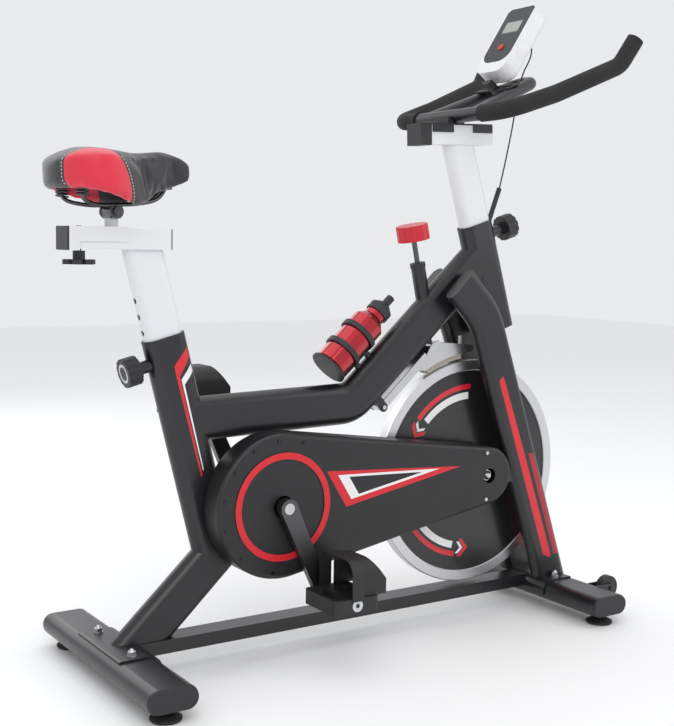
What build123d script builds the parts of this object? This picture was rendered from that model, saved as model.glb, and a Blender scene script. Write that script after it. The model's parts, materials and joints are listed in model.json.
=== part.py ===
"""Indoor spin bike: a belt-driven flywheel cycle with a friction brake.

+X is the way the rider faces, +Y the rider's left, +Z up. The origin is on the floor under the
middle of the bike's overall box. Millimetres.
"""

import os
from math import acos, cos, radians, sin, tan

from build123d import *

os.makedirs("parts", exist_ok=True)

# ---- driving dimensions ------------------------------------------------------------------
MID_X = 10.5  # midpoint of the two floor bars, forward of the origin
FIT = 0.4  # gap between sliding pieces
RUN = 0.05  # radial running clearance of a shaft in its bearing

# floor bars
BAR_X = 474.6  # each bar's distance from the midpoint
BAR_LENGTH = 460.0
BAR_DEEP, BAR_THICK, BAR_WALL = 88.0, 40.0, 2.0
BAR_Z = 40.0
CAP_THICK = 5.0
FOOT_Y, FOOT_R = 200.0, 26.0
FOOT_STUD_R = 4.0
PLATE_THICK, PLATE_HALF = 3.2, 88.0
BOLT_Y = 71.0
WHEEL_R, WHEEL_WIDTH, WHEEL_Y, WHEEL_Z = 24.0, 18.0, 150.0, 50.0
WHEEL_FORWARD = 70.4  # wheel axle ahead of the front bar's centre
WHEEL_BOLT_R = 4.0

# frame tubes, all flat ovals
TUBE_DEEP, TUBE_THICK, TUBE_WALL = 78.0, 40.0, 2.0
POST_DEEP, POST_THICK, POST_WALL = 70.0, 32.0, 2.0
RAIL_WIDTH, RAIL_LOW, RAIL_HIGH = 45.0, 37.0, 61.0
SEAT_LEAN, HEAD_LEAN, STRUT_RISE, DOWN_RISE = 14.5, 17.2, 43.0, 42.2
SEAT_TOP_Z, HEAD_TOP_Z, HEAD_LOW_Z = 580.0, 785.0, 577.0
LEG_DEEP, LEG_THICK, LEG_Y, LEG_WALL = 77.0, 30.0, 47.0, 2.0
SEAT_POST_IN, HEAD_POST_IN = 200.0, 120.0  # post length inside its tube
PIN_R = 5.0
HOLE_PITCH = 28.0

# drive
WHEEL_CENTRE = (286.0, 293.0)  # flywheel axle
CRANK_CENTRE = (-188.0, 282.0)  # crank axle
FLY_R, FLY_RIM_IN, FLY_HALF, FLY_WEB_HALF = 225.0, 205.0, 11.0, 8.0
HUB_R, AXLE_R, CRANK_AXLE_R = 27.0, 6.0, 10.0
BELT_Y, BELT_WIDTH, BELT_THICK = -37.0, 14.0, 3.4
BIG_R, SMALL_R = 96.0, 30.0
PULLEY_WIDTH = 18.0
COVER_BACK, COVER_FACE, COVER_SPLIT, COVER_WALL = -22.0, -74.0, -47.0, 2.5
COVER_BIG_R, COVER_SMALL_R = 130.0, 57.0
CRANK_LENGTH, CRANK_ANGLE = 170.0, -65.4
CRANK_IN, CRANK_OUT = 81.0, 95.0
PEDAL_IN, PEDAL_OUT = 104.0, 206.0
SPINDLE_R = 6.0

# seat
SLIDE_LOW, SLIDE_HIGH, SLIDE_WIDTH = 729.0, 763.0, 46.0
SLIDE_REAR, SLIDE_FRONT = -564.0, -380.0
CARRIAGE_REAR, CARRIAGE_FRONT, CARRIAGE_BOX = -561.0, -460.0, -543.0
CARRIAGE_SKIN, CARRIAGE_TRAVEL = 2.0, 33.0
SEAT_KNOB_X, STEM_X = -535.0, -479.0
SADDLE_REAR, SADDLE_NOSE, SADDLE_TOP = -590.0, -338.0, 885.0
SADDLE_PIVOT_Z = 790.0

# handlebar and brake
BOX_RISE = 2.5
BOX_REAR, BOX_FRONT, BOX_Z, BOX_TALL, BOX_WIDTH = 136.0, 316.0, 957.0, 37.0, 40.0
BARS_R, LOOP_R, FOAM_R = 13.5, 12.5, 16.5
ROD_R = 5.0
PAD_GAP = 5.5


# ---- helpers -----------------------------------------------------------------------------
def spot(x, z, y=0.0):
    """A point: x ahead of the floor bars' midpoint, z above the floor, y to the rider's left."""
    return Vector(MID_X + x, y, z)


def leaning(point, lean, z):
    """The point at height z on a centre-plane line that leans back by lean degrees."""
    return Vector(point.X + (point.Z - z) * tan(radians(lean)), 0, z)


def up(lean):
    """Unit vector up along a line that leans back by lean degrees."""
    return Vector(-sin(radians(lean)), 0, cos(radians(lean)))


def ahead(rise):
    """Unit vector forward along a centre-plane line that rises by rise degrees."""
    return Vector(cos(radians(rise)), 0, sin(radians(rise)))


def across(start, end):
    """The plane at start, square to the run to end, with its local X in the centre plane."""
    axis = end - start
    return Plane(origin=start, x_dir=Vector(axis.Z, 0, -axis.X), z_dir=axis)


def oval(start, end, deep, thick):
    """A solid flat-oval bar in the centre plane's direction."""
    with BuildPart() as piece:
        with BuildSketch(across(start, end)):
            SlotOverall(deep, thick)
        extrude(amount=(end - start).length)
    return piece.part


def oval_path(points, radius, deep, thick):
    """A solid flat-oval bar along a bent centre-plane path."""
    with BuildPart() as piece:
        with BuildLine() as route:
            FilletPolyline(*points, radius=radius)
        with BuildSketch(across(points[0], points[1])):
            SlotOverall(deep, thick)
        sweep(path=route.line)
    return piece.part


def rod(start, end, radius):
    """A solid round bar from start to end."""
    axis = end - start
    with BuildPart() as piece:
        with BuildSketch(Plane(origin=start, z_dir=axis)):
            Circle(radius)
        extrude(amount=axis.length)
    return piece.part


def pipe(start, end, outer, inner):
    """A round tube from start to end."""
    axis = end - start
    with BuildPart() as piece:
        with BuildSketch(Plane(origin=start, z_dir=axis)):
            Circle(outer)
            Circle(inner, mode=Mode.SUBTRACT)
        extrude(amount=axis.length)
    return piece.part


def round_path(points, radius, outer, inner=0.0):
    """A round bar or tube along straight runs joined by tangent arcs."""
    with BuildPart() as piece:
        with BuildLine() as route:
            FilletPolyline(*points, radius=radius)
        with BuildSketch(Plane(origin=points[0], z_dir=points[1] - points[0])):
            Circle(outer)
            if inner:
                Circle(inner, mode=Mode.SUBTRACT)
        sweep(path=route.line)
    return piece.part


def block(low, high):
    """A box between two opposite corners."""
    size = high - low
    with BuildPart() as piece:
        with BuildSketch(Plane.XY.offset(low.Z)):
            with Locations((low.X + size.X / 2, low.Y + size.Y / 2)):
                Rectangle(size.X, size.Y)
        extrude(amount=size.Z)
    return piece.part


def disc(x, z, y_from, y_to, radius, inner=0.0):
    """A wheel-like disc about a line across the bike."""
    ends = (spot(x, z, y_from), spot(x, z, y_to))
    return pipe(*ends, radius, inner) if inner else rod(*ends, radius)


def bar_shell(x, grow, y_half):
    """A floor bar's flat-oval outline, grown by grow, over its middle y_half each way."""
    with BuildPart() as piece:
        with BuildSketch(Plane(origin=spot(x, BAR_Z), x_dir=(1, 0, 0), z_dir=(0, -1, 0))):
            SlotOverall(BAR_DEEP + 2 * grow, BAR_THICK + 2 * grow)
        extrude(amount=y_half, both=True)
    return piece.part


def save(piece, name):
    """Label a finished piece and write it."""
    piece.part.label = name
    export_step(piece.part, f"parts/{name}.step")


# ---- derived places ----------------------------------------------------------------------
SEAT_REF = spot(-387, 584)
HEAD_REF = spot(290, 789)
SEAT_UP, HEAD_UP = up(SEAT_LEAN), up(HEAD_LEAN)
SEAT_TOP = leaning(SEAT_REF, SEAT_LEAN, SEAT_TOP_Z)
HEAD_TOP = leaning(HEAD_REF, HEAD_LEAN, HEAD_TOP_Z)
HEAD_LOW = leaning(HEAD_REF, HEAD_LEAN, HEAD_LOW_Z)
JOINT = leaning(SEAT_REF, SEAT_LEAN, 193.4)  # where the seat tube's and the rear strut's axes meet
BEND = spot(0, 446.5)  # where the main tube turns up
DOWN_DIR = ahead(DOWN_RISE)
STRUT_LOW = JOINT - ahead(STRUT_RISE) * 245
BORE_DEEP, BORE_THICK = TUBE_DEEP - 2 * TUBE_WALL, TUBE_THICK - 2 * TUBE_WALL

seat_outer = oval(JOINT - SEAT_UP * 60, SEAT_TOP, TUBE_DEEP, TUBE_THICK)
seat_bore = oval(JOINT - SEAT_UP * 60, SEAT_TOP, BORE_DEEP, BORE_THICK)
strut_outer = oval(STRUT_LOW, JOINT + ahead(STRUT_RISE) * 60, TUBE_DEEP, TUBE_THICK)
strut_bore = oval(STRUT_LOW, JOINT + ahead(STRUT_RISE) * 60, BORE_DEEP, BORE_THICK)
head_outer = oval(HEAD_LOW, HEAD_TOP, TUBE_DEEP, TUBE_THICK)
head_bore = oval(HEAD_LOW, HEAD_TOP, BORE_DEEP, BORE_THICK)
rear_grown = bar_shell(-BAR_X, PLATE_THICK, PLATE_HALF)
front_grown = bar_shell(BAR_X, PLATE_THICK, PLATE_HALF)
rail_outer = block(
    spot(-BAR_X, RAIL_LOW, -RAIL_WIDTH / 2), spot(BAR_X, RAIL_HIGH, RAIL_WIDTH / 2)
)

# ---- floor bars --------------------------------------------------------------------------
TUBE_HALF = BAR_LENGTH / 2 - CAP_THICK
wheel_axle = spot(BAR_X + WHEEL_FORWARD, WHEEL_Z)


def wheel_ears(y):
    """Two ears on the front bar and the bolt that a transport wheel turns on."""
    gap = WHEEL_WIDTH / 2 + 1
    parts = []
    for side in (-1, 1):
        start = y + side * gap
        with BuildPart() as ear:
            with BuildSketch(Plane(origin=(0, start, 0), x_dir=(1, 0, 0), z_dir=(0, side, 0))):
                with Locations((wheel_axle.X - 20, -side * WHEEL_Z)):
                    Rectangle(40, 20)
                with Locations((wheel_axle.X, -side * WHEEL_Z)):
                    Circle(10)
            extrude(amount=3)
        parts.append(ear.part)
    bolt_low = Vector(wheel_axle.X, y - gap - 6, WHEEL_Z)
    bolt_high = Vector(wheel_axle.X, y + gap + 6, WHEEL_Z)
    parts.append(rod(bolt_low, bolt_high, WHEEL_BOLT_R))
    return parts


with BuildPart() as stabilizers:
    for x in (-BAR_X, BAR_X):
        add(bar_shell(x, 0, TUBE_HALF))
    for y in (-WHEEL_Y, WHEEL_Y):
        for piece in wheel_ears(y):
            add(piece)
    for x in (-BAR_X, BAR_X):
        add(bar_shell(x, -BAR_WALL, TUBE_HALF), mode=Mode.SUBTRACT)
    for x in (-BAR_X, BAR_X):
        for y in (-FOOT_Y, FOOT_Y):
            add(
                rod(spot(x, 15, y), spot(x, 26, y), FOOT_STUD_R + RUN + 0.02),
                mode=Mode.SUBTRACT,
            )
        for y in (-BOLT_Y, BOLT_Y):
            add(rod(spot(x, 15, y), spot(x, 70, y), 4.2), mode=Mode.SUBTRACT)
save(stabilizers, "stabilizers")

with BuildPart() as stabilizer_end_caps:
    for x in (-BAR_X, BAR_X):
        for side in (-1, 1):
            face = Plane(
                origin=spot(x, BAR_Z, side * TUBE_HALF), x_dir=(1, 0, 0), z_dir=(0, side, 0)
            )
            with BuildSketch(face):
                SlotOverall(BAR_DEEP, BAR_THICK)
            extrude(amount=CAP_THICK, taper=18)
            with BuildSketch(face):
                SlotOverall(BAR_DEEP - 2 * BAR_WALL, BAR_THICK - 2 * BAR_WALL)
                SlotOverall(BAR_DEEP - 2 * BAR_WALL - 5, BAR_THICK - 2 * BAR_WALL - 5,
                            mode=Mode.SUBTRACT)
            extrude(amount=-12)
save(stabilizer_end_caps, "stabilizer_end_caps")

for name, x, side in (
    ("foot_rear_right", -BAR_X, -1),
    ("foot_rear_left", -BAR_X, 1),
    ("foot_front_right", BAR_X, -1),
    ("foot_front_left", BAR_X, 1),
):
    base = spot(x, 0, side * FOOT_Y)
    with BuildPart() as foot:
        with BuildSketch(Plane.XZ.offset(-base.Y)):
            with BuildLine():
                Polyline(
                    (base.X, 0), (base.X + FOOT_R - 2, 0), (base.X + FOOT_R, 2),
                    (base.X + FOOT_R, 5), (base.X + FOOT_R - 9, 10), (base.X + 9, 11.5),
                    (base.X + 9, 15.5), (base.X + FOOT_STUD_R, 15.5),
                    (base.X + FOOT_STUD_R, 36), (base.X, 36), close=True,
                )
            make_face()
        revolve(axis=Axis(base, (0, 0, 1)))
    save(foot, name)

for name, side in (("transport_wheel_right", -1), ("transport_wheel_left", 1)):
    y = side * WHEEL_Y
    with BuildPart() as wheel:
        add(
            pipe(
                Vector(wheel_axle.X, y - WHEEL_WIDTH / 2, WHEEL_Z),
                Vector(wheel_axle.X, y + WHEEL_WIDTH / 2, WHEEL_Z),
                WHEEL_R,
                WHEEL_BOLT_R + RUN,
            )
        )
        rims = wheel.edges().filter_by(GeomType.CIRCLE).sort_by(lambda e: -e.radius)[:2]
        fillet(rims, radius=3)
    save(wheel, name)

# ---- base rail with its two saddle plates ------------------------------------------------
def saddle_plate(x, inward):
    """A curved plate that hugs the top and inner side of the floor bar at x."""
    low, high = sorted((x - inward * 30, x + inward * 60))
    with BuildPart() as plate:
        add(bar_shell(x, PLATE_THICK, PLATE_HALF))
        add(bar_shell(x, 0, PLATE_HALF + 1), mode=Mode.SUBTRACT)
        add(
            block(spot(low, 34, -PLATE_HALF - 1), spot(high, 80, PLATE_HALF + 1)),
            mode=Mode.INTERSECT,
        )
        for y in (-BOLT_Y, BOLT_Y):
            add(rod(spot(x, 50, y), spot(x, 75, y), 4.2), mode=Mode.SUBTRACT)
    return plate.part


rail_inner = block(
    spot(-BAR_X, RAIL_LOW + 2, -RAIL_WIDTH / 2 + 2), spot(BAR_X, RAIL_HIGH - 2, RAIL_WIDTH / 2 - 2)
)
with BuildPart() as base_rail:
    add(rail_outer)
    add(rail_inner, mode=Mode.SUBTRACT)
    for grown in (rear_grown, front_grown):
        add(grown, mode=Mode.SUBTRACT)
    for x, inward in ((-BAR_X, 1), (BAR_X, -1)):
        add(saddle_plate(x, inward))
save(base_rail, "base_rail")

# ---- seat tube and rear strut, mitred where they meet -----------------------------------
mitre = Plane(origin=JOINT, z_dir=SEAT_UP + ahead(STRUT_RISE))
SEAT_NORMAL = Vector(cos(radians(SEAT_LEAN)), 0, sin(radians(SEAT_LEAN)))  # square to the tube
HEAD_NORMAL = Vector(cos(radians(HEAD_LEAN)), 0, sin(radians(HEAD_LEAN)))
SEAT_PIN = SEAT_TOP - SEAT_UP * 38  # where each pull pin's line crosses its post's axis
HEAD_PIN = HEAD_TOP - HEAD_UP * 26
BOSS_R, SEAT_BOSS, HEAD_BOSS = 11.0, 15.0, 22.0
MAIN_START = leaning(SEAT_REF, SEAT_LEAN, 437.5)
MAIN_END = BEND + DOWN_DIR * 430
GUIDE_R, GUIDE_BORE = 14.0, 9.5
ROD_DIR = Vector(sin(radians(12.5)), 0, -cos(radians(12.5)))  # down the push rod
ROD_REF = spot(153, 701)  # the guide tube's top
KNOB_CENTRE = ROD_REF - ROD_DIR * 68
GUIDE_END = ROD_REF + ROD_DIR * 80
ROD_END = ROD_REF + ROD_DIR * 150
BRAKE_PIVOT = spot(66, 436)
BRAKE_PIVOT_R = 4.0


def pin_boss(pin, outward, length):
    """A round boss from the post's axis out to length beyond the tube's face."""
    return rod(pin + outward * (TUBE_DEEP / 2 - 12), pin + outward * (TUBE_DEEP / 2 + length), BOSS_R)


def pin_bore(pin, outward):
    """The hole that a pull pin slides in."""
    return rod(pin + outward * 20, pin + outward * 90, PIN_R + FIT)


seat_boss = pin_boss(SEAT_PIN, -SEAT_NORMAL, SEAT_BOSS)
head_boss = pin_boss(HEAD_PIN, HEAD_NORMAL, HEAD_BOSS)
with BuildPart() as seat_tube:
    add(seat_outer)
    add(seat_boss)
    add(seat_bore, mode=Mode.SUBTRACT)
    add(pin_bore(SEAT_PIN, -SEAT_NORMAL), mode=Mode.SUBTRACT)
    split(bisect_by=mitre, keep=Keep.TOP)
save(seat_tube, "seat_tube")

with BuildPart() as rear_strut:
    add(strut_outer)
    add(strut_bore, mode=Mode.SUBTRACT)
    split(bisect_by=mitre, keep=Keep.BOTTOM)
    add(rear_grown, mode=Mode.SUBTRACT)
    add(rail_outer, mode=Mode.SUBTRACT)
    add(block(spot(-700, -50, -60), spot(0, RAIL_LOW + 1, 60)), mode=Mode.SUBTRACT)
save(rear_strut, "rear_strut")

# ---- head tube ---------------------------------------------------------------------------
GLAND_AT = HEAD_TOP - HEAD_UP * 5 + HEAD_NORMAL * (TUBE_DEEP / 2)
with BuildPart() as head_tube:
    add(head_outer)
    add(head_boss)
    add(head_bore, mode=Mode.SUBTRACT)
    add(pin_bore(HEAD_PIN, HEAD_NORMAL), mode=Mode.SUBTRACT)
save(head_tube, "head_tube")

# ---- main tube, with the brake rod's guide and the brake arm's lugs ----------------------
main_points = (MAIN_START, BEND, MAIN_END)
main_outer = oval_path(main_points, 60, TUBE_DEEP, TUBE_THICK)
main_bore = oval_path(main_points, 60, BORE_DEEP, BORE_THICK)
LUG_OUT = 17.0  # half the distance across the two lugs
lug_root = BEND + DOWN_DIR * ((BRAKE_PIVOT - BEND).dot(DOWN_DIR))


def brake_lug(side):
    """A lug under the main tube that holds one end of the brake arm's pivot."""
    outward = BRAKE_PIVOT - lug_root
    reach = outward.length
    with BuildPart() as lug:
        with BuildSketch(
            Plane(origin=lug_root + Vector(0, side * LUG_OUT, 0), x_dir=outward, z_dir=(0, -side, 0))
        ):
            with Locations((reach / 2 + 12, 0)):
                Rectangle(reach - 24, 18)
            with Locations((reach, 0)):
                Circle(9)
        extrude(amount=3)
    return lug.part


with BuildPart() as main_tube:
    add(main_outer)
    add(pipe(ROD_REF, GUIDE_END, GUIDE_R, GUIDE_BORE))
    for side in (-1, 1):
        add(brake_lug(side))
    add(main_bore, mode=Mode.SUBTRACT)
    add(rod(ROD_REF - ROD_DIR * 5, ROD_REF + ROD_DIR * 260, GUIDE_BORE), mode=Mode.SUBTRACT)
    add(
        rod(
            BRAKE_PIVOT - Vector(0, 30, 0), BRAKE_PIVOT + Vector(0, 30, 0), BRAKE_PIVOT_R + RUN
        ),
        mode=Mode.SUBTRACT,
    )
    add(seat_outer, mode=Mode.SUBTRACT)
    add(head_outer, mode=Mode.SUBTRACT)
    keep_side = main_tube.solids().sort_by(SortBy.VOLUME)[-1]
    add(keep_side, mode=Mode.INTERSECT)
save(main_tube, "main_tube")

with BuildPart() as tension_collar:
    add(pipe(ROD_REF, ROD_REF - ROD_DIR * 9, GUIDE_R + 1, ROD_R + RUN))
    add(pipe(ROD_REF, ROD_REF + ROD_DIR * 16, GUIDE_BORE, ROD_R + RUN))
save(tension_collar, "tension_collar")

# ---- fork legs, with their dropout plates and crown blocks ------------------------------
LEG_POINTS = (spot(219, 671), spot(284, 606), spot(484.6, 40))
leg_start = (LEG_POINTS[1] - LEG_POINTS[0]).normalized()
DROP_Y, DROP_THICK = 50.0, 6.0
DROP_TALL = 44.0


def fork_leg(side):
    """One leg: a bent oval, a rear plate for the axle and a block against the main tube."""
    shift = Location((0, side * LEG_Y, 0))
    outer = oval_path(LEG_POINTS, 150, LEG_DEEP, LEG_THICK).moved(shift)
    bore = oval_path(
        LEG_POINTS, 150, LEG_DEEP - 2 * LEG_WALL, LEG_THICK - 2 * LEG_WALL
    ).moved(shift)
    fly_x, fly_z = WHEEL_CENTRE
    plane = Plane(origin=spot(0, 0, side * DROP_Y), x_dir=(1, 0, 0), z_dir=(0, -1, 0))
    with BuildPart() as leg:
        with BuildSketch(plane):
            with Locations((fly_x, fly_z)):
                Circle(DROP_TALL / 2)
            with Locations((fly_x + 45, fly_z)):
                Rectangle(90, DROP_TALL)
        extrude(amount=-side * DROP_THICK)
        add(outer)
        add(bore, mode=Mode.SUBTRACT)
        add(oval(LEG_POINTS[0], LEG_POINTS[0] + leg_start * 3, LEG_DEEP, LEG_THICK).moved(shift))
        crown = spot(236, 660, side * TUBE_THICK / 2)
        with BuildSketch(Plane(origin=crown, x_dir=DOWN_DIR, z_dir=(0, side, 0))):
            SlotOverall(70, 30)
        extrude(amount=LEG_Y - LEG_THICK / 2 - TUBE_THICK / 2)
        add(front_grown, mode=Mode.SUBTRACT)
        add(block(spot(300, -60, -90), spot(700, 45, 90)), mode=Mode.SUBTRACT)
        add(disc(fly_x, fly_z, -80, 80, AXLE_R + 0.02), mode=Mode.SUBTRACT)
    return leg


for name, side in (("fork_leg_right", -1), ("fork_leg_left", 1)):
    save(fork_leg(side), name)

# ---- bottom bracket ----------------------------------------------------------------------
SHELL_LOW, SHELL_HIGH, SHELL_R, BEARING_R = -22.0, 46.0, 26.0, 18.0
crank_at = spot(*CRANK_CENTRE)
arm_dir = (crank_at - JOINT).normalized()
bracket_arm = oval(JOINT - arm_dir * 10, crank_at, 50, 36)
with BuildPart() as bottom_bracket:
    add(bracket_arm)
    add(disc(*CRANK_CENTRE, SHELL_LOW, SHELL_HIGH, SHELL_R))
    add(disc(*CRANK_CENTRE, SHELL_LOW - 1, SHELL_HIGH + 1, BEARING_R), mode=Mode.SUBTRACT)
    add(seat_outer, mode=Mode.SUBTRACT)
    add(strut_outer, mode=Mode.SUBTRACT)
save(bottom_bracket, "bottom_bracket")

with BuildPart() as bottom_bracket_bearings:
    for low in (SHELL_LOW, SHELL_HIGH - 14):
        add(disc(*CRANK_CENTRE, low, low + 14, BEARING_R, CRANK_AXLE_R + RUN))
save(bottom_bracket_bearings, "bottom_bracket_bearings")

# ---- flywheel, its bearings and the small pulley ----------------------------------------
HUB_HALF, FLY_BEARING_R, FLY_BEARING_WIDE = 28.0, 16.0, 10.0
fly_at = spot(*WHEEL_CENTRE)
with BuildPart() as flywheel:
    with BuildSketch(Plane.XY.offset(fly_at.Z)):
        with BuildLine():
            Polyline(
                (fly_at.X + FLY_BEARING_R, HUB_HALF), (fly_at.X + HUB_R, HUB_HALF),
                (fly_at.X + HUB_R + 4, FLY_WEB_HALF + 6), (fly_at.X + HUB_R + 12, FLY_WEB_HALF),
                (fly_at.X + FLY_RIM_IN - 3, FLY_WEB_HALF), (fly_at.X + FLY_RIM_IN, FLY_HALF),
                (fly_at.X + FLY_R - 1.5, FLY_HALF), (fly_at.X + FLY_R, FLY_HALF - 1.5),
                (fly_at.X + FLY_R, 1.5 - FLY_HALF), (fly_at.X + FLY_R - 1.5, -FLY_HALF),
                (fly_at.X + FLY_RIM_IN, -FLY_HALF), (fly_at.X + FLY_RIM_IN - 3, -FLY_WEB_HALF),
                (fly_at.X + HUB_R + 12, -FLY_WEB_HALF), (fly_at.X + HUB_R + 4, -FLY_WEB_HALF - 6),
                (fly_at.X + HUB_R, -HUB_HALF), (fly_at.X + FLY_BEARING_R, -HUB_HALF),
                close=True,
            )
        make_face()
    revolve(axis=Axis(fly_at, (0, 1, 0)))
save(flywheel, "flywheel")

with BuildPart() as flywheel_bearings:
    for low in (-HUB_HALF, HUB_HALF - FLY_BEARING_WIDE):
        add(disc(*WHEEL_CENTRE, low, low + FLY_BEARING_WIDE, FLY_BEARING_R, AXLE_R + RUN))
save(flywheel_bearings, "flywheel_bearings")

with BuildPart() as pulley_small:
    add(disc(*WHEEL_CENTRE, -HUB_HALF - PULLEY_WIDTH, -HUB_HALF, SMALL_R, AXLE_R + 2))
save(pulley_small, "pulley_small")

NUT_LONG, NUT_ACROSS = 10.0, 20.0
axle_right, axle_left = -DROP_Y - DROP_THICK, DROP_Y + DROP_THICK
with BuildPart() as flywheel_axle:
    add(disc(*WHEEL_CENTRE, axle_right - NUT_LONG, axle_left + NUT_LONG, AXLE_R))
save(flywheel_axle, "flywheel_axle")

# ---- crank axle, large pulley, crank arms and pedal spindles -----------------------------
with BuildPart() as crank_axle:
    add(disc(*CRANK_CENTRE, -CRANK_OUT, CRANK_OUT, CRANK_AXLE_R))
save(crank_axle, "crank_axle")

pulley_low, pulley_high = BELT_Y - PULLEY_WIDTH / 2, BELT_Y + PULLEY_WIDTH / 2
with BuildPart() as pulley_large:
    add(disc(*CRANK_CENTRE, pulley_low, pulley_high, BIG_R, BIG_R - 12))
    add(disc(*CRANK_CENTRE, BELT_Y - 3, BELT_Y + 3, BIG_R - 11))
    add(disc(*CRANK_CENTRE, pulley_low, pulley_high, 22))
    add(disc(*CRANK_CENTRE, -80, 0, CRANK_AXLE_R), mode=Mode.SUBTRACT)
    for turn in range(5):
        angle = radians(72 * turn)
        x, z = CRANK_CENTRE[0] + 53 * cos(angle), CRANK_CENTRE[1] + 53 * sin(angle)
        add(disc(x, z, -80, 0, 17), mode=Mode.SUBTRACT)
save(pulley_large, "pulley_large")


def pedal_place(side):
    """Where a pedal's spindle stands: the right crank points down and ahead, the left opposite."""
    angle = radians(CRANK_ANGLE if side < 0 else CRANK_ANGLE + 180)
    reach_x, reach_z = CRANK_LENGTH * cos(angle), CRANK_LENGTH * sin(angle)
    return CRANK_CENTRE[0] + reach_x, CRANK_CENTRE[1] + reach_z


with BuildPart() as crank_arms:
    for side in (-1, 1):
        with BuildSketch(
            Plane(origin=(MID_X, side * CRANK_IN, 0), x_dir=(1, 0, 0), z_dir=(0, -1, 0))
        ):
            with Locations(CRANK_CENTRE):
                Circle(17)
            with Locations(pedal_place(side)):
                Circle(13)
            make_hull()
        extrude(amount=-side * (CRANK_OUT - CRANK_IN))
        add(disc(*CRANK_CENTRE, side * (CRANK_IN - 5), side * CRANK_IN, 17))
        for (x, z), radius in ((CRANK_CENTRE, CRANK_AXLE_R), (pedal_place(side), SPINDLE_R)):
            add(disc(x, z, side * 70, side * 100, radius), mode=Mode.SUBTRACT)
save(crank_arms, "crank_arms")

with BuildPart() as pedal_spindles:
    for side in (-1, 1):
        add(disc(*pedal_place(side), side * CRANK_IN, side * (PEDAL_OUT - 8), SPINDLE_R))
        add(disc(*pedal_place(side), side * CRANK_OUT, side * (CRANK_OUT + 5), 9))
save(pedal_spindles, "pedal_spindles")

# ---- pedals and toe cages ----------------------------------------------------------------
PEDAL_HALF_LONG, PEDAL_HALF_TALL = 46.0, 13.0
PEDAL_MID = (PEDAL_IN + PEDAL_OUT) / 2
CAGE_TALL, CAGE_FRONT, CAGE_REAR = 64.0, 62.0, 14.0
CAGE_WIDE, CAGE_WALL, CAGE_CORNER = 94.0, 3.0, 26.0
STRAP_REAR, STRAP_WIDE, STRAP_THICK = -12.0, 24.0, 2.0


def arch(at, x_low, x_high, wide, low, high, corner):
    """A solid with straight sides from low up to a rounded top at high, seen along X."""
    plane = Plane(origin=(at.X + x_low, at.Y, (low + high) / 2), x_dir=(0, 1, 0), z_dir=(1, 0, 0))
    with BuildPart() as piece:
        with BuildSketch(plane) as outline:
            Rectangle(wide, high - low)
            fillet(outline.vertices().group_by(Axis.Y)[-1], radius=corner)
        extrude(amount=x_high - x_low)
    return piece.part


def hood(at, low, inset):
    """The toe cage's outer shape, or with inset its hollow: an arch whose top slopes down ahead."""
    high, front = low + CAGE_TALL - inset, at.X + CAGE_FRONT - inset
    rear = at.X + CAGE_REAR - inset
    with BuildPart() as piece:
        add(
            arch(
                at, CAGE_REAR - inset, CAGE_FRONT - inset, CAGE_WIDE - 2 * inset,
                low - inset, high, CAGE_CORNER - inset,
            )
        )
        with BuildSketch(Plane.XZ.offset(-at.Y)):
            with BuildLine():
                Polyline(
                    (rear, low - inset), (front, low - inset), (front, low + 26 - inset / 2),
                    (front - 30, high), (rear, high), close=True,
                )
            make_face()
        extrude(amount=CAGE_WIDE, both=True, mode=Mode.INTERSECT)
    return piece.part


def strap(at, low, inset):
    """The strap's outer shape over the foot, or with inset the space inside it."""
    wide, high = PEDAL_OUT - PEDAL_IN + 2 * (STRAP_THICK - inset), low + CAGE_TALL + 1 - inset
    rear, corner = STRAP_REAR - inset, CAGE_CORNER - inset
    return arch(at, rear, STRAP_REAR + STRAP_WIDE + inset, wide, low - 5 - inset, high, corner)


for name, cage_name, side in (
    ("pedal_right", "toe_cage_right", -1),
    ("pedal_left", "toe_cage_left", 1),
):
    x, z = pedal_place(side)
    at = spot(x, z, side * PEDAL_MID)
    with BuildPart() as pedal:
        with BuildSketch(Plane.XY.offset(at.Z - PEDAL_HALF_TALL)):
            with Locations((at.X, at.Y)):
                RectangleRounded(2 * PEDAL_HALF_LONG, PEDAL_OUT - PEDAL_IN, 10)
                with Locations((-27, 0), (27, 0)):
                    Rectangle(22, 66, mode=Mode.SUBTRACT)
        extrude(amount=2 * PEDAL_HALF_TALL)
        add(
            disc(x, z, side * (PEDAL_IN - 1), side * (PEDAL_OUT - 6), SPINDLE_R + RUN),
            mode=Mode.SUBTRACT,
        )
    save(pedal, name)

    low = at.Z + PEDAL_HALF_TALL
    with BuildPart() as toe_cage:
        add(hood(at, low, 0))
        add(hood(at, low, CAGE_WALL), mode=Mode.SUBTRACT)
        add(strap(at, low, 0))
        add(strap(at, low, STRAP_THICK), mode=Mode.SUBTRACT)
    save(toe_cage, cage_name)

# ---- chain cover, belt and cover screws --------------------------------------------------
SCREW_RING, SCREW_R, POST_R = 118.0, 1.6, 4.5
HEAD_R, HEAD_TALL = 3.6, 1.6
RING_OUT, RING_IN = 97.5, 84.0
cover_holes = [
    (CRANK_CENTRE[0] + SCREW_RING * cos(radians(a)), CRANK_CENTRE[1] + SCREW_RING * sin(radians(a)))
    for a in (70, 95, 120, 145, 170, 195, 225, 260, 290)
] + [
    (WHEEL_CENTRE[0] + 47 * cos(radians(a)), WHEEL_CENTRE[1] + 47 * sin(radians(a)))
    for a in (100, 260)
]


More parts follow.
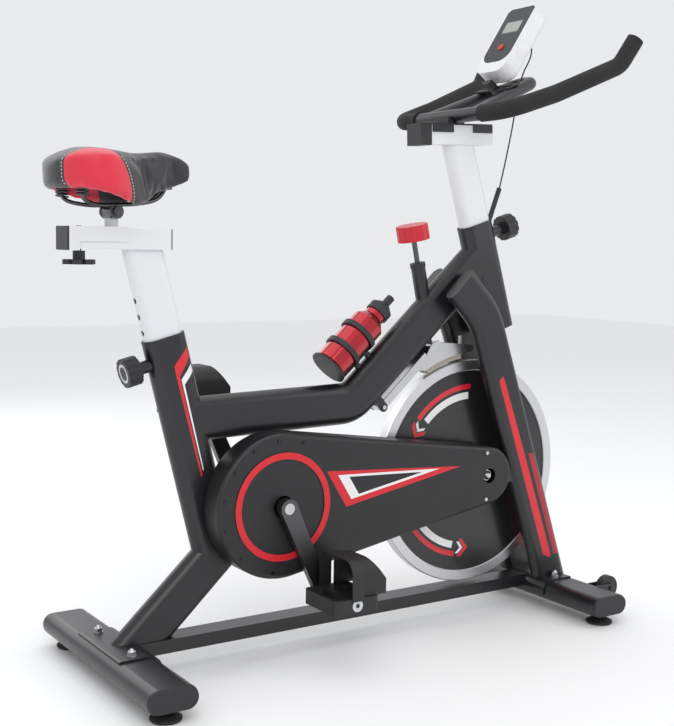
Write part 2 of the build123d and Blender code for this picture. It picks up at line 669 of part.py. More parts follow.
def hull(y_from, y_to, big, small):
    """The drive's outline: the hull of a big disc at the crank and a small one at the flywheel."""
    low = min(y_from, y_to)
    with BuildPart() as piece:
        with BuildSketch(Plane(origin=(MID_X, low, 0), x_dir=(1, 0, 0), z_dir=(0, -1, 0))):
            with Locations(CRANK_CENTRE):
                Circle(big)
            with Locations(WHEEL_CENTRE):
                Circle(small)
            make_hull()
        extrude(amount=-abs(y_to - y_from))
    return piece.part


def rounded_hull(inset):
    """The outer cover's shape with a rounded outer edge, or with inset its hollow."""
    with BuildPart() as piece:
        add(hull(COVER_FACE + inset, COVER_SPLIT, COVER_BIG_R - inset, COVER_SMALL_R - inset))
        fillet(piece.edges().group_by(Axis.Y)[0], radius=9 - inset)
    return piece.part


with BuildPart() as cover_outer:
    add(rounded_hull(0))
    add(rounded_hull(COVER_WALL), mode=Mode.SUBTRACT)
    add(disc(*CRANK_CENTRE, COVER_FACE - 1.5, COVER_FACE + 1, RING_OUT, RING_IN))
    add(disc(*CRANK_CENTRE, COVER_FACE - 5, COVER_SPLIT, 20), mode=Mode.SUBTRACT)
    add(disc(*WHEEL_CENTRE, COVER_FACE - 5, COVER_SPLIT, 15), mode=Mode.SUBTRACT)
    notch_low = spot(WHEEL_CENTRE[0] + 20, WHEEL_CENTRE[1] - DROP_TALL / 2 - 1, -DROP_Y - 8)
    notch_high = spot(WHEEL_CENTRE[0] + 80, WHEEL_CENTRE[1] + DROP_TALL / 2 + 1, COVER_SPLIT)
    add(block(notch_low, notch_high), mode=Mode.SUBTRACT)
    for x, z in cover_holes:
        add(disc(x, z, COVER_FACE - 5, COVER_SPLIT, SCREW_R + 0.1), mode=Mode.SUBTRACT)
save(cover_outer, "cover_outer")

with BuildPart() as cover_inner:
    add(hull(COVER_SPLIT, COVER_BACK, COVER_BIG_R, COVER_SMALL_R))
    add(
        hull(
            COVER_SPLIT, COVER_BACK - COVER_WALL,
            COVER_BIG_R - COVER_WALL, COVER_SMALL_R - COVER_WALL,
        ),
        mode=Mode.SUBTRACT,
    )
    for x, z in cover_holes:
        add(disc(x, z, COVER_FACE + COVER_WALL, COVER_BACK, POST_R))
    for x, z in cover_holes:
        add(disc(x, z, COVER_FACE, COVER_FACE + 14, SCREW_R), mode=Mode.SUBTRACT)
    add(disc(*CRANK_CENTRE, -60, 0, 14), mode=Mode.SUBTRACT)
    add(disc(*WHEEL_CENTRE, -60, 0, SMALL_R + 3), mode=Mode.SUBTRACT)
save(cover_inner, "cover_inner")

belt_low, belt_high = BELT_Y - BELT_WIDTH / 2, BELT_Y + BELT_WIDTH / 2
with BuildPart() as drive_belt:
    add(hull(belt_low, belt_high, BIG_R + FIT + BELT_THICK, SMALL_R + FIT + BELT_THICK))
    add(hull(belt_low, belt_high, BIG_R + FIT, SMALL_R + FIT), mode=Mode.SUBTRACT)
save(drive_belt, "drive_belt")


def acorn(base, direction, across_flats, tall, bore=0.0):
    """A domed nut standing on base."""
    top = base + direction * tall
    with BuildPart() as nut:
        with BuildSketch(Plane(origin=base, z_dir=direction)):
            RegularPolygon(across_flats / 2, 6, major_radius=False)
        extrude(amount=tall)
        with BuildSketch(Plane(origin=top, z_dir=direction)):
            Circle(across_flats / 2 - 1)
        extrude(amount=across_flats / 3, taper=35)
        if bore:
            with BuildSketch(Plane(origin=base, z_dir=direction)):
                Circle(bore)
            extrude(amount=NUT_LONG, mode=Mode.SUBTRACT)
    return nut.part


PLATE_TOP = BAR_Z + BAR_THICK / 2 + PLATE_THICK
UPWARD = Vector(0, 0, 1)
with BuildPart() as frame_fasteners:
    for x in (-BAR_X, BAR_X):
        for y in (-BOLT_Y, BOLT_Y):
            add(rod(spot(x, BAR_Z - BAR_THICK / 2, y), spot(x, PLATE_TOP + 6, y), 4))
            add(rod(spot(x, BAR_Z - BAR_THICK / 2 - 3, y), spot(x, BAR_Z - BAR_THICK / 2, y), 8))
            add(rod(spot(x, PLATE_TOP, y), spot(x, PLATE_TOP + 1.5, y), 8))
            add(acorn(spot(x, PLATE_TOP + 1.5, y), UPWARD, 13, 6.5))
    for y, direction in ((axle_right, Vector(0, -1, 0)), (axle_left, Vector(0, 1, 0))):
        add(acorn(spot(*WHEEL_CENTRE, y), direction, NUT_ACROSS, NUT_LONG, AXLE_R))
    for x, z in cover_holes:
        add(disc(x, z, COVER_FACE, COVER_FACE + 12, SCREW_R))
        add(disc(x, z, COVER_FACE - HEAD_TALL, COVER_FACE, HEAD_R))
save(frame_fasteners, "frame_fasteners")

# ---- post bushings -----------------------------------------------------------------------
BUSH_LONG, BUSH_FLANGE = 60.0, 3.0
with BuildPart() as post_bushings:
    for top, direction in ((SEAT_TOP, SEAT_UP), (HEAD_TOP, HEAD_UP)):
        add(oval(top - direction * BUSH_LONG, top, BORE_DEEP, BORE_THICK))
        add(oval(top, top + direction * BUSH_FLANGE, TUBE_DEEP, TUBE_THICK))
    for top, direction in ((SEAT_TOP, SEAT_UP), (HEAD_TOP, HEAD_UP)):
        low, high = top - direction * (BUSH_LONG + 1), top + direction * (BUSH_FLANGE + 1)
        add(oval(low, high, POST_DEEP + 2 * FIT, POST_THICK + 2 * FIT), mode=Mode.SUBTRACT)
    for pin, outward in ((SEAT_PIN, -SEAT_NORMAL), (HEAD_PIN, HEAD_NORMAL)):
        add(pin_bore(pin, outward), mode=Mode.SUBTRACT)
save(post_bushings, "post_bushings")


# ---- pull knobs --------------------------------------------------------------------------
KNOB_R = 25.0


def pull_knob(pin, outward, boss, post_half):
    """A ribbed knob on a plunger that stops just short of the post."""
    tip = pin + outward * (post_half + FIT)
    shoulder = pin + outward * (TUBE_DEEP / 2 + boss + FIT)
    cap = shoulder + outward * 30
    with BuildPart() as knob:
        add(rod(tip, shoulder, PIN_R))
        add(rod(shoulder, shoulder + outward * 5, 13))
        add(rod(shoulder + outward * 5, cap, KNOB_R))
        with BuildSketch(Plane(origin=shoulder + outward * 5, z_dir=outward)):
            with PolarLocations(KNOB_R + 1.5, 12):
                Circle(3)
        extrude(amount=25, mode=Mode.SUBTRACT)
    return knob


save(pull_knob(SEAT_PIN, -SEAT_NORMAL, SEAT_BOSS, POST_DEEP / 2), "seat_post_knob")
save(pull_knob(HEAD_PIN, HEAD_NORMAL, HEAD_BOSS, POST_DEEP / 2), "handlebar_knob")

# ---- seat post, slider and carriage ------------------------------------------------------
SLIDE_WALL, CAP_DEPTH = 2.0, 3.0
post_low = SEAT_TOP - SEAT_UP * SEAT_POST_IN
post_high = leaning(SEAT_REF, SEAT_LEAN, SLIDE_LOW + 12)
slot_from, slot_to = SEAT_KNOB_X - 5, SEAT_KNOB_X + CARRIAGE_TRAVEL + 5
half = SLIDE_WIDTH / 2
with BuildPart() as seat_post:
    add(oval(post_low, post_high, POST_DEEP, POST_THICK))
    add(
        oval(post_low, post_high, POST_DEEP - 2 * POST_WALL, POST_THICK - 2 * POST_WALL),
        mode=Mode.SUBTRACT,
    )
    for step in range(-2, 5):
        hole = SEAT_PIN + SEAT_UP * (HOLE_PITCH * step)
        add(rod(hole - SEAT_NORMAL * 20, hole - SEAT_NORMAL * 50, PIN_R + FIT), mode=Mode.SUBTRACT)
    add(
        block(spot(-700, SLIDE_LOW, -half), spot(0, SLIDE_LOW + 40, half)), mode=Mode.SUBTRACT
    )
    add(block(spot(SLIDE_REAR + CAP_DEPTH, SLIDE_LOW, -half), spot(SLIDE_FRONT - 2, SLIDE_HIGH, half)))
    add(
        block(
            spot(SLIDE_REAR, SLIDE_LOW + SLIDE_WALL, SLIDE_WALL - half),
            spot(SLIDE_FRONT, SLIDE_HIGH - SLIDE_WALL, half - SLIDE_WALL),
        ),
        mode=Mode.SUBTRACT,
    )
    add(block(spot(slot_from, SLIDE_LOW - 1, -5), spot(slot_to, SLIDE_HIGH + 1, 5)), mode=Mode.SUBTRACT)
save(seat_post, "seat_post")

with BuildPart() as slider_end_caps:
    add(block(spot(SLIDE_REAR, SLIDE_LOW - 2, -25), spot(SLIDE_REAR + CAP_DEPTH, SLIDE_HIGH + 2, 25)))
    add(block(spot(SLIDE_FRONT - 2, SLIDE_LOW, -half), spot(SLIDE_FRONT, SLIDE_HIGH, half)))
    for x, wide in ((SLIDE_REAR + CAP_DEPTH, 5), (SLIDE_FRONT - 2 - 8, 8)):
        add(
            block(
                spot(x, SLIDE_LOW + SLIDE_WALL, SLIDE_WALL - half),
                spot(x + wide, SLIDE_HIGH - SLIDE_WALL, half - SLIDE_WALL),
            )
        )
save(slider_end_caps, "slider_end_caps")

inner_half = half + FIT
outer_half = inner_half + CARRIAGE_SKIN
roof_low = SLIDE_HIGH + FIT
roof_high = roof_low + CARRIAGE_SKIN
STEM_R, STEM_TOP = 11.0, 779.0
with BuildPart() as seat_carriage:
    add(
        block(
            spot(CARRIAGE_REAR + FIT, SLIDE_LOW + 12, -outer_half),
            spot(CARRIAGE_FRONT, roof_high, outer_half),
        )
    )
    add(
        block(
            spot(CARRIAGE_REAR + FIT, SLIDE_LOW - FIT - CARRIAGE_SKIN, -outer_half),
            spot(CARRIAGE_BOX, roof_high, outer_half),
        )
    )
    add(
        block(
            spot(CARRIAGE_REAR - 5, SLIDE_LOW - FIT, -inner_half),
            spot(CARRIAGE_FRONT + 5, roof_low, inner_half),
        ),
        mode=Mode.SUBTRACT,
    )
    add(rod(spot(SEAT_KNOB_X, SLIDE_HIGH), spot(SEAT_KNOB_X, roof_high + 1), 4 + FIT), mode=Mode.SUBTRACT)
    add(rod(spot(STEM_X, roof_high), spot(STEM_X, STEM_TOP), STEM_R))
save(seat_carriage, "seat_carriage")

with BuildPart() as seat_slider_knob:
    add(rod(spot(SEAT_KNOB_X, SLIDE_LOW - 5), spot(SEAT_KNOB_X, roof_high + 1), 4))
    add(rod(spot(SEAT_KNOB_X, 711), spot(SEAT_KNOB_X, SLIDE_LOW - 3), 10))
    with BuildSketch(Plane.XY.offset(704)):
        with Locations((MID_X + SEAT_KNOB_X, 0)):
            SlotOverall(55, 18)
            SlotOverall(55, 18, rotation=60)
            SlotOverall(55, 18, rotation=120)
    extrude(amount=8)
save(seat_slider_knob, "seat_slider_knob")

# ---- saddle ------------------------------------------------------------------------------
PIN_HALF, EYE_R, EYE_IN, EYE_OUT, SPRING_X = 30.0, 12.0, 18.0, 23.0, -546.0
SADDLE_PIN_R = 4.0
with BuildPart() as saddle_clamp:
    add(disc(STEM_X, SADDLE_PIVOT_Z, 1.5 - EYE_IN, EYE_IN - 1.5, 11))
    add(block(spot(STEM_X - 9, STEM_TOP, 1.5 - EYE_IN), spot(STEM_X + 9, SADDLE_PIVOT_Z, EYE_IN - 1.5)))
    add(disc(STEM_X, SADDLE_PIVOT_Z, -PIN_HALF, PIN_HALF, SADDLE_PIN_R))
    for side in (-1, 1):
        add(disc(STEM_X, SADDLE_PIVOT_Z, side * (EYE_OUT + FIT), side * (EYE_OUT + 6), 7))
save(saddle_clamp, "saddle_clamp")


def saddle_plan(z_from, z_to, inset):
    """The saddle's outline from above, pulled in by inset, as a slab."""
    with BuildPart() as piece:
        with BuildSketch(Plane.XY.offset(z_from)):
            with BuildLine():
                half_outline = Spline(
                    (MID_X + SADDLE_REAR + inset, 0),
                    (MID_X - 583 + inset, 38),
                    (MID_X - 560 + 0.7 * inset, 76 - 0.7 * inset),
                    (MID_X - 525, 93 - inset),
                    (MID_X - 485, 78 - inset),
                    (MID_X - 445, 50 - inset),
                    (MID_X - 400, 33 - inset),
                    (MID_X - 362, 26 - inset),
                    (MID_X + SADDLE_NOSE - inset, 0),
                    tangents=(Vector(0, 1, 0), Vector(0, -1, 0)),
                )
                mirror(half_outline, about=Plane.XZ)
            make_face()
        extrude(amount=z_to - z_from)
    return piece.part


def saddle_at(x, z):
    """A point of the saddle's side view."""
    return MID_X + x, z


BASE_LOW, BASE_HIGH, SKIRT = 829.0, 836.0, 13.0
with BuildPart() as saddle_pad:
    with BuildSketch(Plane.XZ):
        with BuildLine():
            top = Spline(
                saddle_at(SADDLE_REAR, 826), saddle_at(-585, 866), saddle_at(-536, SADDLE_TOP),
                saddle_at(-440, 880), saddle_at(-376, SADDLE_TOP - 1), saddle_at(-346, 872),
                saddle_at(SADDLE_NOSE, 852),
            )
            Polyline(
                top @ 1, saddle_at(-348, 842), saddle_at(-458, 797), saddle_at(-480, 801),
                saddle_at(-560, 822), top @ 0,
            )
        make_face()
    extrude(amount=120, both=True)
    add(saddle_plan(780, 900, 0), mode=Mode.INTERSECT)
    add(saddle_plan(770, BASE_HIGH, SKIRT), mode=Mode.SUBTRACT)
save(saddle_pad, "saddle_pad")

with BuildPart() as saddle_base:
    add(saddle_plan(BASE_LOW, BASE_HIGH, SKIRT + FIT))
    add(block(spot(-376, 800, -60), spot(-300, 860, 60)), mode=Mode.SUBTRACT)
save(saddle_base, "saddle_base")

with BuildPart() as saddle_rails:
    for side in (-1, 1):
        route = (
            spot(-388, BASE_LOW, side * 8), spot(-396, 812, side * 10),
            spot(-440, 803, side * 20.5), spot(-512, 799, side * 20.5),
            spot(SPRING_X + 1, 806, side * 42), spot(SPRING_X, 816, side * 43),
        )
        add(round_path(route, [8, 30, 40, 6], 3.5))
        with BuildSketch(
            Plane(origin=spot(STEM_X, SADDLE_PIVOT_Z, side * EYE_IN), x_dir=(1, 0, 0), z_dir=(0, side, 0))
        ):
            Circle(EYE_R)
            Circle(SADDLE_PIN_R + RUN, mode=Mode.SUBTRACT)
        extrude(amount=EYE_OUT - EYE_IN)
        spring_low, spring_high = spot(SPRING_X, 812, side * 43), spot(SPRING_X, BASE_LOW, side * 43)
        add(pipe(spring_low, spring_high, 12, 8.5))
        add(rod(spring_low, spring_low + Vector(0, 0, 3), 12))
    add(saddle_base.part, mode=Mode.SUBTRACT)
save(saddle_rails, "saddle_rails")


# ---- handlebar post, its box and the brackets --------------------------------------------
def beam(start, direction, length, wide, tall):
    """A square-cut bar along direction in the centre plane; start is its end face's middle."""
    with BuildPart() as piece:
        with BuildSketch(Plane(origin=start, x_dir=(0, 1, 0), z_dir=direction)):
            Rectangle(wide, tall)
        extrude(amount=length)
    return piece.part


BOX_DIR = ahead(BOX_RISE)
BOX_NORMAL = Vector(-BOX_DIR.Z, 0, BOX_DIR.X)
BOX_WALL, BOX_OPEN = 2.0, 162.0
box_mid = spot(226, BOX_Z)


def along_box(x):
    """The point of the box's axis at x."""
    return box_mid + BOX_DIR * ((x - 226) / BOX_DIR.X)


box_start, box_length = along_box(BOX_OPEN), (BOX_FRONT - BOX_OPEN) / BOX_DIR.X
box_outer = beam(box_start, BOX_DIR, box_length, BOX_WIDTH, BOX_TALL)
bar_low = HEAD_TOP - HEAD_UP * HEAD_POST_IN
bar_high = leaning(HEAD_REF, HEAD_LEAN, BOX_Z - 5)
with BuildPart() as handlebar_post:
    add(oval(bar_low, bar_high, POST_DEEP, POST_THICK))
    add(
        oval(bar_low, bar_high, POST_DEEP - 2 * POST_WALL, POST_THICK - 2 * POST_WALL),
        mode=Mode.SUBTRACT,
    )
    for step in range(-1, 4):
        hole = HEAD_PIN + HEAD_UP * (HOLE_PITCH * step)
        add(rod(hole + HEAD_NORMAL * 20, hole + HEAD_NORMAL * 50, PIN_R + FIT), mode=Mode.SUBTRACT)
    add(box_outer)
    inside = beam(
        box_start - BOX_DIR, BOX_DIR, box_length + 2, BOX_WIDTH - 2 * BOX_WALL, BOX_TALL - 2 * BOX_WALL
    )
    add(inside, mode=Mode.SUBTRACT)
save(handlebar_post, "handlebar_post")

# ---- handlebar ---------------------------------------------------------------------------
BARS_WALL = 2.0
bar_points = [
    spot(x, z, side * y)
    for side, order in ((-1, 1), (1, -1))
    for x, z, y in ((495, 1137, 213), (467, 1090, 205), (323, 1028, 187), (222, 992, 168))[::order]
]
bar_radii = [40, 250, 45, 45, 250, 40]
loop_points = [spot(222, 992, -72), spot(414, 1072, -22), spot(414, 1072, 22), spot(222, 992, 72)]
with BuildPart() as handlebar:
    add(round_path(bar_points, bar_radii, BARS_R))
    add(round_path(loop_points, 20, LOOP_R))
    add(round_path(bar_points, bar_radii, BARS_R - BARS_WALL), mode=Mode.SUBTRACT)
    add(round_path(loop_points, 20, LOOP_R - BARS_WALL), mode=Mode.SUBTRACT)
save(handlebar, "handlebar")

FOAM_FROM = 96.0
with BuildPart() as grip_foams:
    add(round_path(bar_points, bar_radii, FOAM_R))
    for side in (0, -1):
        tip, inward = bar_points[side], bar_points[1 if side == 0 else -2]
        outward = (tip - inward).normalized()
        add(rod(tip, tip + outward * 4, FOAM_R))
    add(round_path(bar_points, bar_radii, BARS_R), mode=Mode.SUBTRACT)
    add(block(spot(150, 940, -FOAM_FROM), spot(300, 1040, FOAM_FROM)), mode=Mode.SUBTRACT)
save(grip_foams, "grip_foams")

# ---- monitor -----------------------------------------------------------------------------
MONITOR_BASE = spot(328, 1108)
MONITOR_UP, MONITOR_BACK = Vector(0.5477, 0, 0.8367), Vector(0.8367, 0, -0.5477)
MONITOR_LOW, MONITOR_HIGH, MONITOR_WIDE, MONITOR_THICK = -27.0, 138.0, 86.0, 42.0
BUTTON_S, BUTTON_R, BUTTON_GAP = 35.0, 7.0, 0.4
monitor_mid = MONITOR_BASE + MONITOR_UP * ((MONITOR_LOW + MONITOR_HIGH) / 2)
monitor_plane = Plane(origin=monitor_mid, x_dir=MONITOR_UP, z_dir=MONITOR_BACK)
button_at = MONITOR_BASE + MONITOR_UP * BUTTON_S
with BuildPart() as monitor_case:
    with BuildSketch(monitor_plane):
        RectangleRounded(MONITOR_HIGH - MONITOR_LOW, MONITOR_WIDE, 24)
    extrude(amount=MONITOR_THICK)
    back = monitor_case.faces().sort_by(Axis((0, 0, 0), MONITOR_BACK))[-1]
    fillet(back.edges(), radius=12)
    add(rod(button_at, button_at + MONITOR_BACK * 6, BUTTON_R + BUTTON_GAP), mode=Mode.SUBTRACT)
save(monitor_case, "monitor_case")

with BuildPart() as monitor_button:
    add(rod(button_at - MONITOR_BACK * 1.6, button_at + MONITOR_BACK * 4, BUTTON_R))
save(monitor_button, "monitor_button")

# ---- brackets under the handlebar and the monitor ----------------------------------------
BAR_X_AT = 222.0
LOOP_DIR = (spot(414, 1072) - spot(222, 992)).normalized()
LOOP_NORMAL = Vector(-LOOP_DIR.Z, 0, LOOP_DIR.X)
plate_start = spot(222, 992) + LOOP_DIR * 118 + LOOP_NORMAL * (LOOP_R + 1.5)
stalk_start = plate_start + LOOP_DIR * 17
with BuildPart() as handlebar_brackets:
    add(beam(along_box(BOX_REAR), BOX_DIR, (BOX_OPEN - BOX_REAR) / BOX_DIR.X, 44, 41))
    roof = along_box(165) + BOX_NORMAL * (BOX_TALL / 2 + 1.5)
    add(beam(roof, BOX_DIR, 147, 46, 3))
    for x, length in ((165, 50), (265, 47)):
        for side in (-1, 1):
            tab = along_box(x) + BOX_NORMAL * (BOX_TALL / 2 - 5.5) + Vector(0, side * 21.5, 0)
            add(beam(tab, BOX_DIR, length, 3, 17))
    add(block(spot(BAR_X_AT - 20, 970, -20), spot(BAR_X_AT + 20, 990, 20)))
    add(box_outer, mode=Mode.SUBTRACT)
    add(beam(plate_start, LOOP_DIR, 34, 96, 3))
    add(rod(stalk_start, stalk_start + MONITOR_BACK * -30, 15))
    add(
        beam(
            MONITOR_BASE - MONITOR_UP * 40 + MONITOR_BACK * (MONITOR_THICK / 2), MONITOR_UP, 200,
            MONITOR_WIDE, MONITOR_THICK,
        ),
        mode=Mode.SUBTRACT,
    )
    add(round_path(bar_points, bar_radii, BARS_R), mode=Mode.SUBTRACT)
    add(round_path(loop_points, 20, LOOP_R), mode=Mode.SUBTRACT)
save(handlebar_brackets, "handlebar_brackets")

# ---- monitor cable and its sleeve --------------------------------------------------------
CABLE_R, SLEEVE_R = 1.5, 5.0


def bend_radii(points):
    """A radius for every corner that leaves a short straight run on both sides."""
    radii = []
    for before, corner, after in zip(points, points[1:], points[2:]):
        first, second = corner - before, after - corner
        turn = acos(first.normalized().dot(second.normalized()))
        radii.append(round(0.45 * min(first.length, second.length) / tan(turn / 2), 2))
    return radii


cable_out = MONITOR_BASE + MONITOR_UP * 78.7 + MONITOR_BACK * MONITOR_THICK + Vector(0, -15, 0)
cable_points = (
    cable_out, cable_out + MONITOR_BACK * 12, spot(416, 1121, -12), spot(401, 1092, -7),
    spot(395, 1062, -4), spot(390, 1030, -1.5), spot(384, 985, 0), spot(373, 935, 0.5),
    spot(362, 890, 0.2), spot(353.6, 860),
)
cable_radii = bend_radii(cable_points)
with BuildPart() as monitor_cable:
    add(round_path(cable_points, cable_radii, CABLE_R))
print("cable radii", cable_radii)
save(monitor_cable, "monitor_cable")

sleeve_top = spot(353.6, 860)
with BuildPart() as cable_sleeve:
    add(rod(GLAND_AT - HEAD_NORMAL * 3, sleeve_top, SLEEVE_R))
    add(head_outer, mode=Mode.SUBTRACT)
    add(oval(HEAD_TOP, HEAD_TOP + HEAD_UP * 10, TUBE_DEEP, TUBE_THICK), mode=Mode.SUBTRACT)
    add(monitor_cable.part, mode=Mode.SUBTRACT)
save(cable_sleeve, "cable_sleeve")

# ---- brake: knob, push rod, arm and pad --------------------------------------------------
KNOB_TALL, BRAKE_KNOB_R = 30.0, 31.0
knob_top = KNOB_CENTRE - ROD_DIR * (KNOB_TALL / 2)
rod_top = knob_top + ROD_DIR * 8
with BuildPart() as push_rod:
    add(rod(rod_top, ROD_END, ROD_R))
save(push_rod, "push_rod")

with BuildPart() as tension_knob:
    add(rod(knob_top, knob_top + ROD_DIR * KNOB_TALL, BRAKE_KNOB_R))
    with BuildSketch(Plane(origin=knob_top, z_dir=ROD_DIR)):
        with PolarLocations(BRAKE_KNOB_R + 2, 16):
            Circle(3.4)
    extrude(amount=KNOB_TALL, mode=Mode.SUBTRACT)
    add(rod(rod_top - ROD_DIR * FIT, knob_top + ROD_DIR * 40, ROD_R + RUN), mode=Mode.SUBTRACT)
save(tension_knob, "tension_knob")

PAD_THICK, PAD_HALF_WIDE, CARRIER_THICK = 10.0, 13.0, 5.0
CHEEK_IN, CHEEK_OUT = 13.6, 16.0
PAD_REAR, PAD_FRONT = radians(29), radians(7.5)  # the pad's ends, back from straight up
pad_low, pad_high = FLY_R + PAD_GAP, FLY_R + PAD_GAP + PAD_THICK


def side_arc(radius, angle):
    """A point of the side view on a circle about the flywheel, back from straight up."""
    return MID_X + WHEEL_CENTRE[0] - radius * sin(angle), WHEEL_CENTRE[1] + radius * cos(angle)


def sector(inner, outer, rear, front, half_wide):
    """A piece of ring about the flywheel's axis."""
    middle = (rear + front) / 2
    with BuildPart() as piece:
        with BuildSketch(Plane.XZ):
            with BuildLine():
                ThreePointArc(side_arc(inner, rear), side_arc(inner, middle), side_arc(inner, front))
                Line(side_arc(inner, front), side_arc(outer, front))
                ThreePointArc(side_arc(outer, front), side_arc(outer, middle), side_arc(outer, rear))
                Line(side_arc(outer, rear), side_arc(inner, rear))
            make_face()
        extrude(amount=half_wide, both=True)
    return piece.part


def side_plate(corners, y_from, y_to):
    """A flat plate cut to a side-view outline."""
    with BuildPart() as piece:
        with BuildSketch(Plane.XZ.offset(-y_to)):
            with BuildLine():
                Polyline(*[(MID_X + x, z) for x, z in corners], close=True)
            make_face()
        extrude(amount=y_to - y_from)
    return piece.part


with BuildPart() as brake_pad:
    add(sector(pad_low, pad_high, PAD_REAR, PAD_FRONT, PAD_HALF_WIDE))
save(brake_pad, "brake_pad")

cheek = (
    (150, 503), (178, 551), (194, 561), (204, 555), (283, 548), (283, 536), (240, 530), (170, 500),
)
plate_mid = ROD_END + ROD_DIR * 0.8
with BuildPart() as brake_arm:
    add(beam(BRAKE_PIVOT, DOWN_DIR, 140, 2 * CHEEK_IN, 16))
    add(beam(BRAKE_PIVOT + DOWN_DIR * 14, DOWN_DIR, 140, 2 * CHEEK_IN - 5, 20), mode=Mode.SUBTRACT)
    add(disc(66, 436, -CHEEK_IN, CHEEK_IN, 8))
    add(side_plate(cheek, -CHEEK_OUT, -CHEEK_IN))
    add(side_plate(cheek, CHEEK_IN, CHEEK_OUT))
    add(side_plate(((202, 554), (283, 548), (283, 545), (202, 551)), -CHEEK_OUT, CHEEK_OUT))
    with BuildSketch(Plane(origin=plate_mid, x_dir=(0, 1, 0), z_dir=ROD_DIR)):
        Rectangle(2 * CHEEK_IN, 15)
    extrude(amount=4)
    add(sector(pad_high, pad_high + CARRIER_THICK, PAD_REAR, PAD_FRONT, CHEEK_OUT))
    add(sector(FLY_R, pad_high, PAD_REAR + 0.2, PAD_FRONT - 0.3, 40), mode=Mode.SUBTRACT)
    add(rod(spot(262, 546), spot(262, 566), 3))
    add(rod(BRAKE_PIVOT - Vector(0, 20, 0), BRAKE_PIVOT + Vector(0, 20, 0), BRAKE_PIVOT_R))
save(brake_arm, "brake_arm")

# ---- bottle and its cage -----------------------------------------------------------------
BOTTLE_BASE = spot(-48, 518)
BOTTLE_R, BOTTLE_LONG, BOTTLE_WALL = 32.0, 115.0, 1.2
NECK_R, NECK_FROM, NECK_TO = 20.0, 128.0, 140.0
bottle_plane = Plane(origin=BOTTLE_BASE, x_dir=DOWN_DIR, z_dir=(0, -1, 0))
bottle_axis = Axis(BOTTLE_BASE, DOWN_DIR)


def turned(outline):
    """A solid of revolution about the bottle's axis from (distance up, radius) corners."""
    with BuildPart() as piece:
        with BuildSketch(bottle_plane):
            with BuildLine():
                Polyline(*outline, close=True)
            make_face()
        revolve(axis=bottle_axis)
    return piece.part


thin = BOTTLE_WALL
with BuildPart() as bottle:
    add(
        turned(
            (
                (0, 0), (0, BOTTLE_R - 3), (3, BOTTLE_R), (BOTTLE_LONG, BOTTLE_R),
                (NECK_FROM, NECK_R + 2), (NECK_FROM, NECK_R), (NECK_TO, NECK_R), (NECK_TO, 0),
            )
        )
    )
    add(
        turned(
            (
                (thin, 0), (thin, BOTTLE_R - 4), (4, BOTTLE_R - thin), (BOTTLE_LONG - 1, BOTTLE_R - thin),
                (NECK_FROM - 1, NECK_R - thin), (NECK_TO + 1, NECK_R - thin), (NECK_TO + 1, 0),
            )
        ),
        mode=Mode.SUBTRACT,
    )
save(bottle, "bottle")

with BuildPart() as bottle_cap:
    add(
        turned(
            (
                (NECK_TO, 0), (NECK_TO, 23), (156, 23), (166, 12), (168, 8), (186, 8), (186, 0),
            )
        )
    )
save(bottle_cap, "bottle_cap")

CAGE_IN, CAGE_OUT = 33.0, 36.5
with BuildPart() as bottle_cage:
    for s in (35, 80):
        add(turned(((s, CAGE_IN), (s, CAGE_OUT), (s + 10, CAGE_OUT), (s + 10, CAGE_IN))))
    add(turned(((-5, 0), (-5, CAGE_OUT), (-1, CAGE_OUT), (-1, 0))))
    spine = BOTTLE_BASE - bottle_plane.y_dir * ((CAGE_IN + CAGE_OUT) / 2) - DOWN_DIR * 5
    add(beam(spine, DOWN_DIR, 97, 16, CAGE_OUT - CAGE_IN - 1))
    for s in (45, 75):
        screw = BOTTLE_BASE + DOWN_DIR * s - bottle_plane.y_dir * CAGE_OUT
        add(rod(screw + bottle_plane.y_dir, screw - bottle_plane.y_dir * 14, 6))
    add(main_outer, mode=Mode.SUBTRACT)
save(bottle_cage, "bottle_cage")
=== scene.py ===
"""The indoor spin bike's looks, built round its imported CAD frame. Metres, in the frame's axes."""

import json
from math import cos, pi, radians, sin

import bmesh
import bpy
from mathutils import Matrix, Vector
from mathutils.bvhtree import BVHTree

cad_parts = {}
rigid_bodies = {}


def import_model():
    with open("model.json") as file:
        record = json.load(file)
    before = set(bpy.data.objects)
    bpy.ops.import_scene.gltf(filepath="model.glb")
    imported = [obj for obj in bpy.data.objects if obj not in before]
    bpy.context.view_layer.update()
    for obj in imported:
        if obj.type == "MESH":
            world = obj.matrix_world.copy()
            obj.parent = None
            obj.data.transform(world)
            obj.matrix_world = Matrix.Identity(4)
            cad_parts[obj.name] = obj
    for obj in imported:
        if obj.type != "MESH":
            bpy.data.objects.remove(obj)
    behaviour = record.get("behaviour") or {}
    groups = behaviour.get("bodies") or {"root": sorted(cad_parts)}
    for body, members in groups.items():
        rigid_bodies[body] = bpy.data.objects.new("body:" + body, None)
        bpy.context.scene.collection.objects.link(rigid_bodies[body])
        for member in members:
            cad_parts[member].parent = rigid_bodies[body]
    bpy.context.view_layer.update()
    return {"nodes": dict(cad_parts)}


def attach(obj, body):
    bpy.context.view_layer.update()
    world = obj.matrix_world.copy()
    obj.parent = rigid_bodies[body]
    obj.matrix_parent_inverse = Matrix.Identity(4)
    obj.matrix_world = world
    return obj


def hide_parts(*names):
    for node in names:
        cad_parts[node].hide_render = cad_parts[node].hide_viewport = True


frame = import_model()
nodes = frame["nodes"]

MID_X = 0.0105


def at(x, z, y=0.0):
    """A point from millimetres ahead of the floor bars' middle, above the floor and to the left."""
    return Vector((MID_X + x / 1000, y / 1000, z / 1000))


